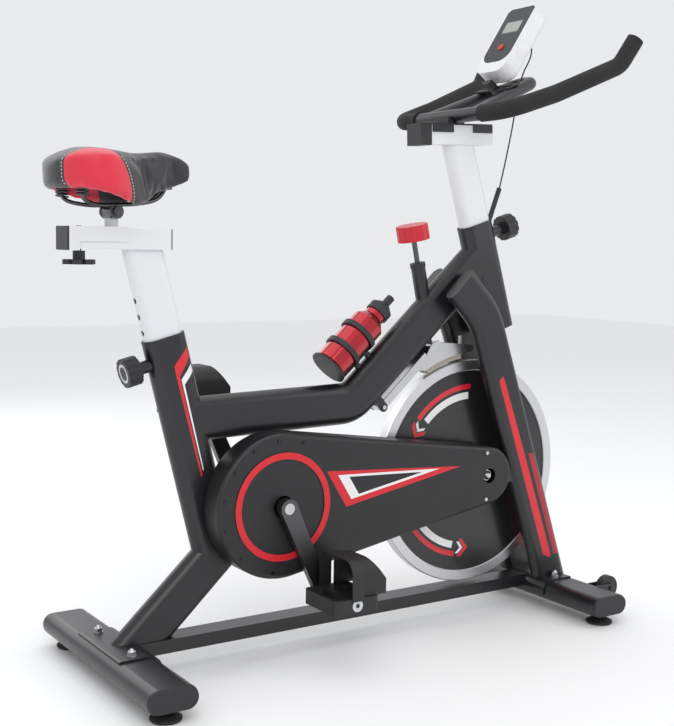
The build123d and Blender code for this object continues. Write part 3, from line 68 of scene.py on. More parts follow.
# ---- camera at the photograph's angle ----------------------------------------------------
YAW, PITCH, ROLL = radians(56.318), radians(-5.684), radians(0.9635)
look = Vector((cos(YAW) * cos(PITCH), sin(YAW) * cos(PITCH), sin(PITCH)))
level_right = look.cross(Vector((0, 0, 1))).normalized()
level_up = level_right.cross(look)
right = level_right * cos(ROLL) + level_up * sin(ROLL)
above = level_up * cos(ROLL) - level_right * sin(ROLL)
camera_data = bpy.data.cameras.new("camera")
camera_data.sensor_fit = "VERTICAL"
camera_data.sensor_height = 36
camera_data.lens = 59.38
camera = bpy.data.objects.new("camera", camera_data)
bpy.context.scene.collection.objects.link(camera)
turn = Matrix((right, above, -look)).transposed().to_4x4()
camera.matrix_world = Matrix.Translation(Vector((MID_X - 1.2611, -1.8452, 0.7438))) @ turn
bpy.context.scene.camera = camera


# ---- material nodes ----------------------------------------------------------------------
class Look:
    """A material being built: helpers that add nodes and return their outputs."""

    def __init__(self, name, colour, rough, metal=0.0, coat=0.0, coat_rough=0.05, sheen=0.0):
        self.material = bpy.data.materials.new(name)
        self.material.use_nodes = True
        self.tree = self.material.node_tree
        self.shader = self.tree.nodes["Principled BSDF"]
        self.colour = tuple(colour) + (1.0,)
        self.shader.inputs["Base Color"].default_value = self.colour
        self.shader.inputs["Roughness"].default_value = rough
        self.shader.inputs["Metallic"].default_value = metal
        self.shader.inputs["Coat Weight"].default_value = coat
        self.shader.inputs["Coat Roughness"].default_value = coat_rough
        self.shader.inputs["Sheen Weight"].default_value = sheen
        self.place = self.node("ShaderNodeTexCoord").outputs["Object"]
        self.rough = rough

    def node(self, kind, **settings):
        made = self.tree.nodes.new(kind)
        for name, value in settings.items():
            setattr(made, name, value)
        return made

    def put(self, socket, value):
        """Links an output to a socket, or sets the socket's own value."""
        if isinstance(value, bpy.types.NodeSocket):
            self.tree.links.new(value, socket)
        else:
            socket.default_value = value

    def math(self, what, first, second=0.0, third=0.0):
        made = self.node("ShaderNodeMath", operation=what)
        self.put(made.inputs[0], first)
        self.put(made.inputs[1], second)
        self.put(made.inputs[2], third)
        return made.outputs[0]

    def along(self, direction, origin=(0, 0, 0)):
        """Distance of the surface from origin along direction."""
        direction = Vector(direction)
        made = self.node("ShaderNodeVectorMath", operation="DOT_PRODUCT")
        self.put(made.inputs[0], self.place)
        made.inputs[1].default_value = direction
        return self.math("SUBTRACT", made.outputs["Value"], direction.dot(Vector(origin)))

    def both(self, *masks):
        """1 where every mask is 1."""
        product = masks[0]
        for mask in masks[1:]:
            product = self.math("MULTIPLY", product, mask)
        return product

    def either(self, *masks):
        largest = masks[0]
        for mask in masks[1:]:
            largest = self.math("MAXIMUM", largest, mask)
        return largest

    def over(self, value, limit):
        return self.math("GREATER_THAN", value, limit)

    def under(self, value, limit):
        return self.math("LESS_THAN", value, limit)

    def band(self, value, low, high):
        return self.both(self.over(value, low), self.under(value, high))

    def outline(self, corners):
        """1 inside a convex outline of side-view points, given anticlockwise as seen from the right."""
        masks = []
        for here, there in zip(corners, corners[1:] + corners[:1]):
            step = there - here
            masks.append(self.over(self.along((-step.z, 0, step.x), here), 0.0))
        return self.both(*masks)

    def reach(self, centre):
        """Distance from a line across the bike through centre."""
        x, z = self.along((1, 0, 0), centre), self.along((0, 0, 1), centre)
        squares = self.math("ADD", self.math("MULTIPLY", x, x), self.math("MULTIPLY", z, z))
        return self.math("SQRT", squares), x, z

    def noise(self, scale, detail=3.0, stretch=None):
        made = self.node("ShaderNodeTexNoise")
        place = self.place
        if stretch:
            scaling = self.node("ShaderNodeMapping")
            scaling.inputs["Scale"].default_value = stretch
            self.put(scaling.inputs["Vector"], place)
            place = scaling.outputs["Vector"]
        self.put(made.inputs["Vector"], place)
        made.inputs["Scale"].default_value = scale
        made.inputs["Detail"].default_value = detail
        return made.outputs["Fac"]

    def cells(self, scale):
        made = self.node("ShaderNodeTexVoronoi")
        self.put(made.inputs["Vector"], self.place)
        made.inputs["Scale"].default_value = scale
        return made.outputs["Distance"]

    def ramp(self, value, low, high):
        made = self.node("ShaderNodeMapRange")
        self.put(made.inputs["Value"], value)
        made.inputs["From Min"].default_value = 0.3
        made.inputs["From Max"].default_value = 0.7
        made.inputs["To Min"].default_value = low
        made.inputs["To Max"].default_value = high
        return made.outputs["Result"]

    def paint(self, *layers):
        """Lays colours over the base colour, each (mask, colour)."""
        under = self.shader.inputs["Base Color"]
        before = under.links[0].from_socket if under.links else self.colour
        for mask, colour in layers:
            mix = self.node("ShaderNodeMix", data_type="RGBA")
            self.put(mix.inputs[0], mask)
            self.put(mix.inputs[6], before)
            self.put(mix.inputs[7], colour if len(colour) == 4 else tuple(colour) + (1.0,))
            before = mix.outputs[2]
        self.put(under, before)
        return self

    def worn(self, scale=9.0, spread=0.06, tint=0.25):
        """Uneven gloss and a slight change of shade, as handled surfaces have."""
        patches = self.noise(scale, 6.0)
        gloss = self.ramp(patches, self.rough - spread, self.rough + spread)
        self.put(self.shader.inputs["Roughness"], gloss)
        darker = tuple(c * (1 - tint) for c in self.colour[:3])
        self.paint((self.math("MULTIPLY", self.noise(scale * 3.1, 5.0), 0.8), darker))
        return self

    def bumps(self, height, strength=0.3, distance=0.0004):
        bump = self.node("ShaderNodeBump")
        bump.inputs["Strength"].default_value = strength
        bump.inputs["Distance"].default_value = distance
        self.put(bump.inputs["Height"], height)
        self.put(self.shader.inputs["Normal"], bump.outputs["Normal"])
        return self


RED, DARK_RED = (0.62, 0.008, 0.018), (0.36, 0.006, 0.02)
WHITE, SILVER, PALE = (0.78, 0.78, 0.78), (0.62, 0.62, 0.63), (0.55, 0.56, 0.58)
BLACK, KNOB_BLACK = (0.0085, 0.0085, 0.0105), (0.014, 0.014, 0.016)
PANEL_RED = (0.66, 0.012, 0.040)


def paint_black(name):
    """Gloss black powder coat with its fine orange peel."""
    made = Look(name, BLACK, 0.34, coat=0.18, coat_rough=0.2)
    made.worn(6.0, 0.05, 0.2)
    return made.bumps(made.noise(900.0, 2.0), 0.10, 0.0002)


def plastic(name, colour, rough=0.5, grain=1400.0, strength=0.25):
    """Moulded plastic with a fine spark-eroded grain."""
    made = Look(name, colour, rough)
    made.worn(14.0, 0.07, 0.2)
    return made.bumps(made.cells(grain), strength, 0.0003)


def metal(name, colour, rough, stretch=(1, 40, 1), scale=30.0):
    """Brushed or turned metal."""
    made = Look(name, colour, rough, metal=1.0)
    made.worn(12.0, 0.08, 0.15)
    return made.bumps(made.noise(scale, 5.0, stretch), 0.12, 0.0002)


black = paint_black("frame_paint")
steel = metal("bright_steel", (0.60, 0.60, 0.61), 0.28)
dark_steel = metal("dark_steel", (0.12, 0.12, 0.125), 0.38)
white_post = Look("post_paint", (0.72, 0.73, 0.75), 0.36, coat=0.3, coat_rough=0.2).worn(5.0, 0.05, 0.06)
white_post.bumps(white_post.noise(700.0, 2.0), 0.08, 0.0002)
knob_black = plastic("knob_plastic", KNOB_BLACK, 0.46)
cap_black = plastic("cap_plastic", (0.017, 0.017, 0.019), 0.5)
rubber = plastic("foot_rubber", (0.013, 0.013, 0.013), 0.72, 900.0, 0.35)
belt_rubber = plastic("belt_rubber", (0.01, 0.01, 0.01), 0.65, 800.0)
cable_skin = plastic("cable_skin", (0.010, 0.010, 0.011), 0.45, 2500.0, 0.1)
felt = Look("brake_felt", (0.40, 0.36, 0.30), 0.95, sheen=0.4).worn(60.0, 0.04, 0.35)
felt.bumps(felt.noise(500.0, 6.0), 0.8, 0.0008)
red_plastic = plastic("knob_red", (0.60, 0.010, 0.025), 0.30, 1800.0, 0.06)
pedal_look = plastic("pedal_plastic", (0.013, 0.013, 0.014), 0.5, 1100.0, 0.3)

# ---- decals on the frame -----------------------------------------------------------------
SEAT_LEAN = radians(14.5)
seat_top = at(-386, 580)
seat_down = Vector((sin(SEAT_LEAN), 0, -cos(SEAT_LEAN)))
seat_ahead = Vector((cos(SEAT_LEAN), 0, sin(SEAT_LEAN)))


def on_seat_tube(*corners):
    """Side-view points from (forward of the tube's axis, down from its top) in millimetres."""
    return [seat_top + seat_ahead * (t / 1000) + seat_down * (s / 1000) for t, s in corners]


seat_look = paint_black("seat_tube_paint")
seat_red = seat_look.either(
    seat_look.outline(on_seat_tube((-1, 64), (5.5, 68), (32, 40), (31, 23), (0, 48))),
    seat_look.outline(on_seat_tube((1, 250), (4.3, 246), (5.2, 64), (-1, 62))),
)
seat_white = seat_look.either(
    seat_look.outline(on_seat_tube((6.8, 74), (10.5, 84), (33, 66), (32, 53))),
    seat_look.outline(on_seat_tube((7.0, 240), (9.0, 236), (10.5, 82), (6.8, 73))),
)
seat_look.paint((seat_red, RED), (seat_white, WHITE))

strut_rise = radians(43)
strut_up = Vector((cos(strut_rise), 0, sin(strut_rise)))
strut_side = Vector((-sin(strut_rise), 0, cos(strut_rise)))
strut_joint = at(-286, 193.4)


def on_strut(*corners):
    """Side-view points from (down from the joint, square to the axis) in millimetres."""
    return [strut_joint - strut_up * (s / 1000) + strut_side * (t / 1000) for s, t in corners]


strut_look = paint_black("rear_strut_paint")
strut_white = strut_look.either(
    strut_look.outline(on_strut((100, -14), (8, -12), (8, -18), (104, -20))),
    strut_look.outline(on_strut((124, 8), (104, 8), (94, -16), (112, -22))),
)
strut_red = strut_look.either(
    strut_look.outline(on_strut((108, -24), (2, -22), (2, -30), (118, -32))),
    strut_look.outline(on_strut((150, 8), (132, 8), (112, -26), (128, -33))),
)
strut_look.paint((strut_white, WHITE), (strut_red, RED))

leg_look = paint_black("fork_leg_paint")
long_stripe = leg_look.outline(
    [at(449, 110), at(467, 102), at(471, 112), at(389, 324), at(333, 474), at(324, 488), at(315, 478)]
)
short_stripe = leg_look.outline([at(479, 107), at(492, 109), at(417, 314), at(410, 327), at(398, 326)])
leg_look.paint((long_stripe, RED), (short_stripe, DARK_RED))

# ---- chain cover -------------------------------------------------------------------------
crank, fly = at(-188, 282), at(286, 293)
cover_look = plastic("cover_plastic", (0.0105, 0.0105, 0.012), 0.42, 1500.0, 0.12)
near_face = cover_look.under(cover_look.along((0, 1, 0)), -0.0735)
radius, _, _ = cover_look.reach(crank)
ring = cover_look.both(cover_look.band(radius, 0.085, 0.0968), near_face)


def shrunk(corners, share):
    """Corners pulled towards their middle."""
    middle = sum(corners, Vector()) / len(corners)
    return [middle + (c - middle) * share for c in corners]


wedge = [at(-55, 268), at(212, 319), at(-98, 337)]
inner_wedge = [at(-44, 281), at(160, 319), at(-74, 328)]
cover_look.paint(
    (ring, RED),
    (cover_look.both(cover_look.outline(wedge), near_face), RED),
    (cover_look.both(cover_look.outline(inner_wedge), near_face), WHITE),
    (cover_look.both(cover_look.outline(shrunk(inner_wedge, 0.72)), near_face), BLACK),
)
cover_inner_look = plastic("cover_inner_plastic", (0.0105, 0.0105, 0.012), 0.45, 1500.0, 0.12)

# ---- flywheel ----------------------------------------------------------------------------
wheel_look = Look("flywheel_paint", (0.0095, 0.0095, 0.011), 0.30, coat=0.3, coat_rough=0.12)
spread, across_x, across_z = wheel_look.reach(fly)
degrees_round = wheel_look.math("MULTIPLY", wheel_look.math("ARCTAN2", across_z, across_x), 180 / pi)
third = wheel_look.math("FLOORED_MODULO", wheel_look.math("ADD", degrees_round, 270.0), 120.0)
rim = wheel_look.over(spread, 0.2035)
red_arc = wheel_look.both(wheel_look.band(spread, 0.166, 0.176), wheel_look.band(third, 0.0, 49.0))
white_arc = wheel_look.both(wheel_look.band(spread, 0.146, 0.160), wheel_look.band(third, 2.0, 46.0))
ahead_of = wheel_look.math("MULTIPLY", wheel_look.math("SUBTRACT", third, 56.0), pi / 180 * 0.158)
off_middle = wheel_look.math("ABSOLUTE", wheel_look.math("SUBTRACT", spread, 0.158))
wing = wheel_look.math("ADD", ahead_of, wheel_look.math("MULTIPLY", off_middle, 0.9))
white_head = wheel_look.both(wheel_look.band(wing, -0.006, 0.001), wheel_look.under(off_middle, 0.012))
red_head = wheel_look.both(wheel_look.band(wing, 0.004, 0.014), wheel_look.under(off_middle, 0.018))
wheel_look.worn(8.0, 0.05, 0.2)
wheel_look.paint(
    (red_arc, RED), (white_arc, WHITE), (white_head, WHITE), (red_head, RED), (rim, SILVER),
)
wheel_look.put(wheel_look.shader.inputs["Metallic"], rim)
lathe = wheel_look.math("SINE", wheel_look.math("MULTIPLY", spread, 9000.0))
wheel_look.bumps(wheel_look.math("MULTIPLY", lathe, rim), 0.10, 0.00008)


# ---- knobs with a pale ring on their face ------------------------------------------------
def ringed(name, centre, outward, inner, outer, depth):
    """Knob plastic with a pale ring of inner to outer radius on the face depth beyond centre."""
    made = plastic(name, KNOB_BLACK, 0.46)
    outward = Vector(outward).normalized()
    side = outward.cross(Vector((0, 1, 0))).normalized()
    far = made.along(outward, centre)
    u, v = made.along(side, centre), made.along((0, 1, 0), centre)
    away = made.math("SQRT", made.math("ADD", made.math("MULTIPLY", u, u), made.math("MULTIPLY", v, v)))
    mask = made.both(made.band(away, inner, outer), made.over(far, depth))
    made.paint((mask, PALE))
    return made


HEAD_LEAN = radians(17.2)
seat_pin = seat_top + seat_down * 0.038
head_top = at(291.24, 785)
head_down = Vector((sin(HEAD_LEAN), 0, -cos(HEAD_LEAN)))
head_ahead = Vector((cos(HEAD_LEAN), 0, sin(HEAD_LEAN)))
head_pin = head_top + head_down * 0.026
seat_knob_look = ringed("seat_knob_plastic", seat_pin, -seat_ahead, 0.012, 0.0165, 0.0835)
head_knob_look = ringed("head_knob_plastic", head_pin, head_ahead, 0.012, 0.0165, 0.0905)

foam = Look("grip_foam", (0.0125, 0.0125, 0.0135), 0.82).worn(20.0, 0.05, 0.25)
foam.bumps(foam.noise(1500.0, 3.0), 0.7, 0.0006)
case_look = plastic("monitor_white", (0.80, 0.80, 0.81), 0.28, 2000.0, 0.03)
monitor_up = Vector((0.5477, 0, 0.8367))
monitor_back = Vector((0.8367, 0, -0.5477))
monitor_base = at(328, 1108)
up_face = case_look.along(monitor_up, monitor_base)
off_centre = case_look.math("ABSOLUTE", case_look.along((0, 1, 0)))
on_face = case_look.under(case_look.along(monitor_back, monitor_base), 0.0006)


def face_shape(middle, half_up, half_across, corner):
    """1 inside a rounded rectangle on the monitor's face, middle up it from its base, in metres."""
    from_middle = case_look.math("ABSOLUTE", case_look.math("SUBTRACT", up_face, middle))
    past_up = case_look.math("MAXIMUM", case_look.math("SUBTRACT", from_middle, half_up - corner), 0.0)
    past_across = case_look.math(
        "MAXIMUM", case_look.math("SUBTRACT", off_centre, half_across - corner), 0.0
    )
    squares = case_look.math(
        "ADD", case_look.math("MULTIPLY", past_up, past_up),
        case_look.math("MULTIPLY", past_across, past_across),
    )
    return case_look.both(case_look.under(squares, corner * corner), on_face)


panel_face = case_look.either(
    face_shape(0.059, 0.061, 0.039, 0.026), face_shape(0.105, 0.030, 0.039, 0.008)
)
case_look.paint(
    (panel_face, (0.020, 0.022, 0.027)),
    (face_shape(0.086, 0.0155, 0.025, 0.003), (0.10, 0.105, 0.11)),
    (face_shape(0.086, 0.0130, 0.0225, 0.002), (0.34, 0.36, 0.33)),
)
bottle_look = Look("bottle_red", (0.50, 0.010, 0.020), 0.20, metal=0.85, coat=0.8, coat_rough=0.04)
bottle_look.worn(10.0, 0.04, 0.35)
bottle_look.bumps(bottle_look.noise(60.0, 3.0, (1, 1, 6)), 0.05, 0.0004)

bolt_look = metal("bolt_steel", (0.60, 0.60, 0.61), 0.28)
from_crank, _, _ = bolt_look.reach(crank)
bolt_look.paint((bolt_look.under(from_crank, 0.16), (0.045, 0.045, 0.05)))

CRANK_TURN, CRANK_LONG, PEDAL_END = radians(-65.4), 0.17, 0.2055


def pedal(name, side):
    """Pedal plastic with the pale bearing cap on its outer end."""
    made = plastic(name, (0.013, 0.013, 0.014), 0.5, 1100.0, 0.3)
    middle = crank + Vector((cos(CRANK_TURN), 0, sin(CRANK_TURN))) * (-CRANK_LONG * side)
    away, _, _ = made.reach(middle)
    outer_end = made.over(made.along((0, side, 0)), PEDAL_END)
    made.paint((made.both(made.band(away, 0.004, 0.0105), outer_end), PALE))
    return made


pedal_right_look, pedal_left_look = pedal("pedal_right_plastic", -1), pedal("pedal_left_plastic", 1)

looks = {
    "stabilizers": black, "base_rail": black, "rear_strut": strut_look, "seat_tube": seat_look,
    "main_tube": black, "head_tube": black, "fork_leg_right": leg_look, "fork_leg_left": leg_look,
    "bottom_bracket": black, "bottom_bracket_bearings": steel, "stabilizer_end_caps": cap_black,
    "cover_inner": cover_inner_look, "cover_outer": cover_look, "drive_belt": belt_rubber,
    "flywheel_axle": steel, "frame_fasteners": bolt_look, "post_bushings": cap_black,
    "tension_collar": cap_black, "bottle_cage": cap_black, "cable_sleeve": cable_skin,
    "flywheel": wheel_look, "flywheel_bearings": steel, "pulley_small": steel, "crank_axle": steel,
    "pulley_large": cap_black, "crank_arms": dark_steel, "pedal_spindles": steel,
    "pedal_right": pedal_right_look, "pedal_left": pedal_left_look, "toe_cage_right": pedal_look,
    "toe_cage_left": pedal_look, "seat_post": white_post, "slider_end_caps": cap_black,
    "seat_carriage": white_post, "saddle_clamp": dark_steel, "saddle_base": cap_black,
    "seat_slider_knob": knob_black, "seat_post_knob": seat_knob_look,
    "handlebar_knob": head_knob_look, "handlebar_post": white_post, "handlebar_brackets": cap_black,
    "handlebar": black, "grip_foams": foam, "monitor_case": case_look,
    "monitor_button": red_plastic, "push_rod": dark_steel, "tension_knob": red_plastic,
    "brake_arm": steel, "brake_pad": felt, "bottle": bottle_look, "bottle_cap": cap_black,
    "transport_wheel_right": cap_black, "transport_wheel_left": cap_black,
    "foot_rear_right": rubber, "foot_rear_left": rubber,
    "foot_front_right": rubber, "foot_front_left": rubber,
}
for name, made in looks.items():
    mesh_slots = nodes[name].material_slots
    for each in mesh_slots:
        each.material = made.material
    if not mesh_slots:
        nodes[name].data.materials.append(made.material)


# ---- mesh helpers ------------------------------------------------------------------------
def new_piece(name, mesh, body, material, smooth=True):
    """Links a mesh as a piece that rides on a CAD body."""
    made = bpy.data.objects.new(name, mesh)
    bpy.context.scene.collection.objects.link(made)
    mesh.materials.append(material)
    if smooth:
        mesh.polygons.foreach_set("use_smooth", [True] * len(mesh.polygons))
    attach(made, body)
    return made


def tube_mesh(paths, radius, sides=10):
    """One mesh of capped tubes, each along a list of close points."""
    made = bmesh.new()
    for points in paths:
        rings = []
        for i, point in enumerate(points):
            before, after = points[max(i - 1, 0)], points[min(i + 1, len(points) - 1)]
            run = (after - before).normalized()
            helper = Vector((0, 1, 0)) if abs(run.y) < 0.9 else Vector((1, 0, 0))
            side = run.cross(helper).normalized()
            other = run.cross(side)
            turns = [2 * pi * k / sides for k in range(sides)]
            rings.append(
                [made.verts.new(point + (side * cos(t) + other * sin(t)) * radius) for t in turns]
            )
        for one, two in zip(rings, rings[1:]):
            for k in range(sides):
                made.faces.new((one[k], one[(k + 1) % sides], two[(k + 1) % sides], two[k]))
        made.faces.new(rings[0][::-1])
        made.faces.new(rings[-1])
    bmesh.ops.recalc_face_normals(made, faces=made.faces)
    mesh = bpy.data.meshes.new("tubes")
    made.to_mesh(mesh)
    made.free()
    return mesh


def nurbs_points(route, detail=16):
    """Points along the smooth NURBS line that has the route as its control points."""
    curve = bpy.data.curves.new("route", "CURVE")
    curve.dimensions = "3D"
    spline = curve.splines.new("NURBS")
    spline.points.add(len(route) - 1)
    for each, point in zip(spline.points, route):
        each.co = (*point, 1)
    spline.order_u = 3
    spline.use_endpoint_u = True
    spline.resolution_u = detail
    holder = bpy.data.objects.new("route", curve)
    mesh = bpy.data.meshes.new_from_object(holder)
    points = [v.co.copy() for v in mesh.vertices]
    bpy.data.objects.remove(holder)
    bpy.data.curves.remove(curve)
    bpy.data.meshes.remove(mesh)
    return points


# ---- monitor cable -----------------------------------------------------------------------
cable_out = monitor_base + monitor_up * 0.0787 + monitor_back * 0.042 + Vector((0, -0.015, 0))
cable_route = [
    cable_out, cable_out + monitor_back * 0.012, at(416, 1121, -12), at(401, 1092, -7),
    at(395, 1062, -4), at(390, 1030, -1.5), at(384, 985, 0), at(373, 935, 0.5),
    at(362, 890, 0.2), at(353.6, 860),
]
cable_curve = bpy.data.curves.new("monitor_lead", "CURVE")
cable_curve.dimensions = "3D"
cable_line = cable_curve.splines.new("NURBS")
cable_line.points.add(len(cable_route) - 1)
for each, point in zip(cable_line.points, cable_route):
    each.co = (*point, 1)
cable_line.order_u = 3
cable_line.use_endpoint_u = True
cable_line.resolution_u = 12
cable_curve.bevel_depth = 0.0015
cable_curve.bevel_resolution = 4
cable_curve.use_fill_caps = True
cable = bpy.data.objects.new("monitor_lead", cable_curve)
bpy.context.scene.collection.objects.link(cable)
cable_curve.materials.append(cable_skin.material)
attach(cable, "frame")
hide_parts("monitor_cable")


# ---- saddle ------------------------------------------------------------------------------
def only(thing):
    """Makes one object active and selected, for the operators that need it."""
    for other in bpy.context.view_layer.objects:
        other.select_set(False)
    thing.select_set(True)
    bpy.context.view_layer.objects.active = thing


saddle_mesh = nodes["saddle_pad"].data.copy()
saddle_mesh.materials.clear()
saddle = bpy.data.objects.new("saddle_cover", saddle_mesh)
bpy.context.scene.collection.objects.link(saddle)
only(saddle)
remesh = saddle.modifiers.new("remesh", "REMESH")
remesh.mode = "VOXEL"
remesh.voxel_size = 0.005
bpy.ops.object.modifier_apply(modifier="remesh")
soften = saddle.modifiers.new("soften", "SMOOTH")
soften.factor = 0.5
soften.iterations = 5
bpy.ops.object.modifier_apply(modifier="soften")
for vertex in saddle.data.vertices:
    share = min(max((vertex.co.z - 0.84) / 0.03, 0.0), 1.0)
    vertex.co.z -= 0.014 * (vertex.co.y / 0.09) ** 2 * share * share * (3 - 2 * share)
CLOTH_STEPS, CAP = 20, 0.006
before = [v.co.copy() for v in saddle.data.vertices]
cloth = saddle.modifiers.new("cloth", "CLOTH")
cloth.settings.use_pressure = True
cloth.settings.uniform_pressure_force = 4.0
cloth.settings.quality = 6
cloth.settings.tension_stiffness = 20
cloth.settings.compression_stiffness = 20
cloth.settings.effector_weights.gravity = 0
cloth.point_cache.frame_start = 1
cloth.point_cache.frame_end = CLOTH_STEPS
for step in range(1, CLOTH_STEPS + 1):
    bpy.context.scene.frame_set(step)
bpy.ops.object.modifier_apply(modifier="cloth")
bpy.context.scene.frame_set(1)
for vertex, start in zip(saddle.data.vertices, before):
    moved = vertex.co - start
    if moved.length > CAP:
        vertex.co = start + moved * (CAP / moved.length)
round_off = saddle.modifiers.new("round", "SUBSURF")
round_off.levels = round_off.render_levels = 1
bpy.ops.object.modifier_apply(modifier="round")

skin = Look("saddle_skin", (0.011, 0.011, 0.0135), 0.48, sheen=0.25)
half_across = skin.math("ABSOLUTE", skin.along((0, 1, 0)))
height = skin.along((0, 0, 1))
SEAM_X, SEAM_Z, SEAM_BEND, SEAM_Y = -474.0, 0.797, 4.06, 0.046
drop = skin.math("SUBTRACT", height, SEAM_Z)
curve_back = skin.math("MULTIPLY", skin.math("MULTIPLY", drop, drop), -SEAM_BEND)
front_edge = skin.math("SUBTRACT", skin.along((1, 0, 0), at(SEAM_X, 0)), curve_back)
panel = skin.both(skin.under(front_edge, 0.0), skin.over(half_across, SEAM_Y))
# painted shade: near-black lines along the panel's front and rear seams stand in for the shade inside
# the seam creases
seam_crease_shade_front = skin.both(
    skin.under(skin.math("ABSOLUTE", front_edge), 0.0009), skin.over(half_across, SEAM_Y)
)
from_seam = skin.math("ABSOLUTE", skin.math("SUBTRACT", half_across, SEAM_Y))
seam_crease_shade_rear = skin.both(skin.under(from_seam, 0.0009), skin.under(front_edge, 0.0))
skin.worn(18.0, 0.06, 0.25)
skin.paint(
    (panel, PANEL_RED),
    # painted shade of the seam creases, darker than the black skin
    (skin.either(seam_crease_shade_front, seam_crease_shade_rear), (0.004, 0.004, 0.004)),
)
grain = skin.math("ADD", skin.cells(620.0), skin.math("MULTIPLY", skin.noise(90.0, 4.0), 0.8))
skin.bumps(grain, 0.35, 0.0006)
saddle.data.materials.append(skin.material)
saddle.data.polygons.foreach_set("use_smooth", [True] * len(saddle.data.polygons))
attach(saddle, "saddle")
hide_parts("saddle_pad")

# white stitches beside both seams, laid on the finished cover
skin_tree = BVHTree.FromPolygons(
    [v.co.copy() for v in saddle.data.vertices], [tuple(p.vertices) for p in saddle.data.polygons]
)


def along_seam(starts, direction):
    """Dashes of thread where rays from starts along direction meet the cover."""
    hits = []
    for start in starts:
        place, normal, _, _ = skin_tree.ray_cast(start, direction)
        if place is not None and (not hits or (place - hits[-1]).length < 0.006):
            hits.append(place + normal * 0.0003)
    dashes, dash, walked = [], [], 0.0
    for one, two in zip(hits, hits[1:]):
        walked += (two - one).length
        if walked % 0.0055 < 0.0036:
            dash.append(two)
        else:
            dashes.append(dash)
            dash = []
    dashes.append(dash)
    return [points for points in dashes if len(points) > 1]


STEPS = 150
stitch_paths = []
for side in (-1, 1):
    front, back, over_top = [], [], []
    for i in range(STEPS + 1):
        z = 0.801 + 0.075 * i / STEPS
        ahead = at(SEAM_X, 0).x - SEAM_BEND * (z - SEAM_Z) ** 2 + 0.0035
        front.append(Vector((ahead, side * 0.2, z)))
        back.append(Vector((at(-700, 0).x, side * (SEAM_Y - 0.0035), 0.829 + 0.042 * i / STEPS)))
        over_top.append(Vector((at(-578 + 74 * i / STEPS, 0).x, side * (SEAM_Y - 0.0035), 1.0)))
    stitch_paths += along_seam(front, Vector((0, -side, 0)))
    stitch_paths += along_seam(back, Vector((1, 0, 0)))
    stitch_paths += along_seam(over_top, Vector((0, 0, -1)))
thread = Look("saddle_thread", (0.75, 0.72, 0.72), 0.8).worn(200.0, 0.05, 0.2)
new_piece(
    "saddle_stitches", tube_mesh(stitch_paths, 0.0006, 6), "saddle", thread.material
)

# ---- saddle rails with their coil springs ------------------------------------------------
SPRING_X, SPRING_Y = -546.0, 43.0
wires, coils = [], []
for side in (-1, 1):
    wires.append(
        nurbs_points(
            [
                at(-388, 829, side * 8), at(-396, 812, side * 10), at(-440, 803, side * 20.5),
                at(-480, 800.5, side * 20.5), at(-512, 799, side * 20.5),
                at(SPRING_X + 1, 806, side * 42), at(SPRING_X, 815, side * SPRING_Y),
            ]
        )
    )
    coil = []
    for i in range(97):
        angle = 2 * pi * 3 * i / 96
        lift = 812.5 + 14.5 * i / 96
        coil.append(at(SPRING_X + 10 * cos(angle), lift, side * (SPRING_Y + 10 * sin(angle))))
    coils.append(coil)
wire_mesh = tube_mesh(wires, 0.0035, 14)
rails = new_piece("saddle_wires", wire_mesh, "saddle", dark_steel.material)
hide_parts("saddle_rails")
spring_mesh = tube_mesh(coils, 0.0016, 8)
new_piece("saddle_springs", spring_mesh, "saddle", dark_steel.material)


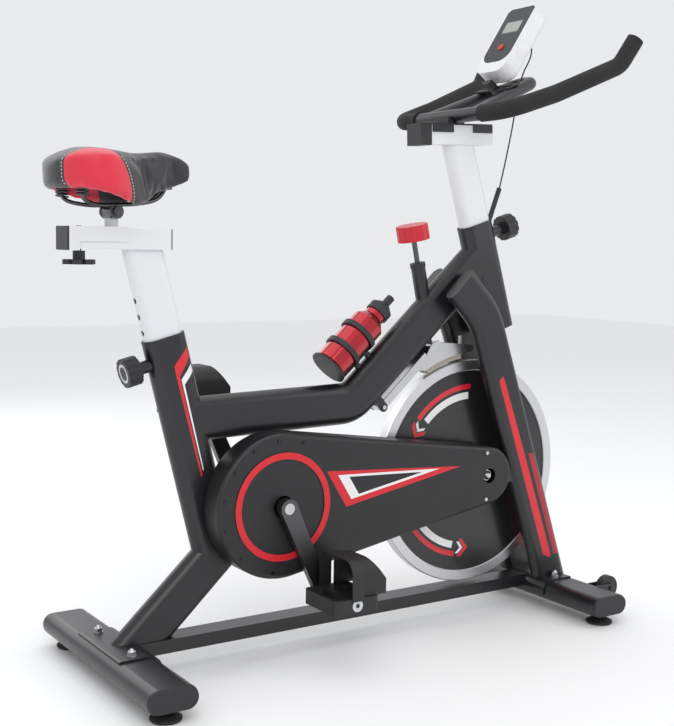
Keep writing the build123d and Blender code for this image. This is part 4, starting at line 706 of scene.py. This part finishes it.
def washer_mesh(centre, axis, outer, inner, thick, segments=40):
    """A flat ring standing on centre along axis."""
    axis = Vector(axis).normalized()
    side = axis.cross(Vector((0, 0, 1))) if abs(axis.z) < 0.9 else axis.cross(Vector((1, 0, 0)))
    side.normalize()
    other = axis.cross(side)
    made = bmesh.new()
    profile = ((inner, 0.0), (outer, 0.0), (outer, thick), (inner, thick))
    loops = [
        [
            made.verts.new(
                centre + axis * h
                + (side * cos(2 * pi * k / segments) + other * sin(2 * pi * k / segments)) * r
            )
            for k in range(segments)
        ]
        for r, h in profile
    ]
    for one, two in zip(loops, loops[1:] + loops[:1]):
        for k in range(segments):
            made.faces.new((one[k], one[(k + 1) % segments], two[(k + 1) % segments], two[k]))
    bmesh.ops.recalc_face_normals(made, faces=made.faces)
    mesh = bpy.data.meshes.new("washer")
    made.to_mesh(mesh)
    made.free()
    return mesh


for side, tag in ((-1, "right"), (1, "left")):
    mesh = washer_mesh(at(-479, 790, side * 18), (0, side, 0), 0.012, 0.0043, 0.005)
    new_piece(f"rail_eye_{tag}", mesh, "saddle", dark_steel.material, smooth=False)

# ---- floor, light and world --------------------------------------------------------------
floor_mesh = bpy.data.meshes.new("floor")
floor_mesh.from_pydata([(-8, -8, 0), (8, -8, 0), (8, 8, 0), (-8, 8, 0)], [], [(0, 1, 2, 3)])
floor = bpy.data.objects.new("floor", floor_mesh)
bpy.context.scene.collection.objects.link(floor)
floor_look = Look("studio_floor", (0.92, 0.92, 0.92), 0.65)
floor_mesh.materials.append(floor_look.material)


def soft_light(name, place, aim, size, power):
    light = bpy.data.lights.new(name, "AREA")
    light.shape = "RECTANGLE"
    light.size, light.size_y = size
    light.energy = power
    holder = bpy.data.objects.new(name, light)
    bpy.context.scene.collection.objects.link(holder)
    place, aim = Vector(place), Vector(aim)
    facing = (aim - place).to_track_quat("-Z", "Y").to_matrix().to_4x4()
    holder.matrix_world = Matrix.Translation(place) @ facing


soft_light("key", (-1.8, -2.6, 2.6), (0, 0, 0.5), (2.0, 2.0), 30)
soft_light("fill", (2.6, -2.2, 1.8), (0, 0, 0.5), (2.0, 2.0), 16)
soft_light("top", (0.0, 0.2, 3.2), (0, 0, 0.4), (3.0, 3.0), 22)
soft_light("back", (-0.5, 3.0, 1.8), (0, 0, 0.6), (2.5, 2.0), 16)
world = bpy.data.worlds.new("studio")
world.use_nodes = True
world.node_tree.nodes["Background"].inputs["Color"].default_value = (0.93, 0.94, 0.96, 1)
world.node_tree.nodes["Background"].inputs["Strength"].default_value = 0.88
bpy.context.scene.world = world
bpy.context.scene.view_settings.view_transform = "Standard"
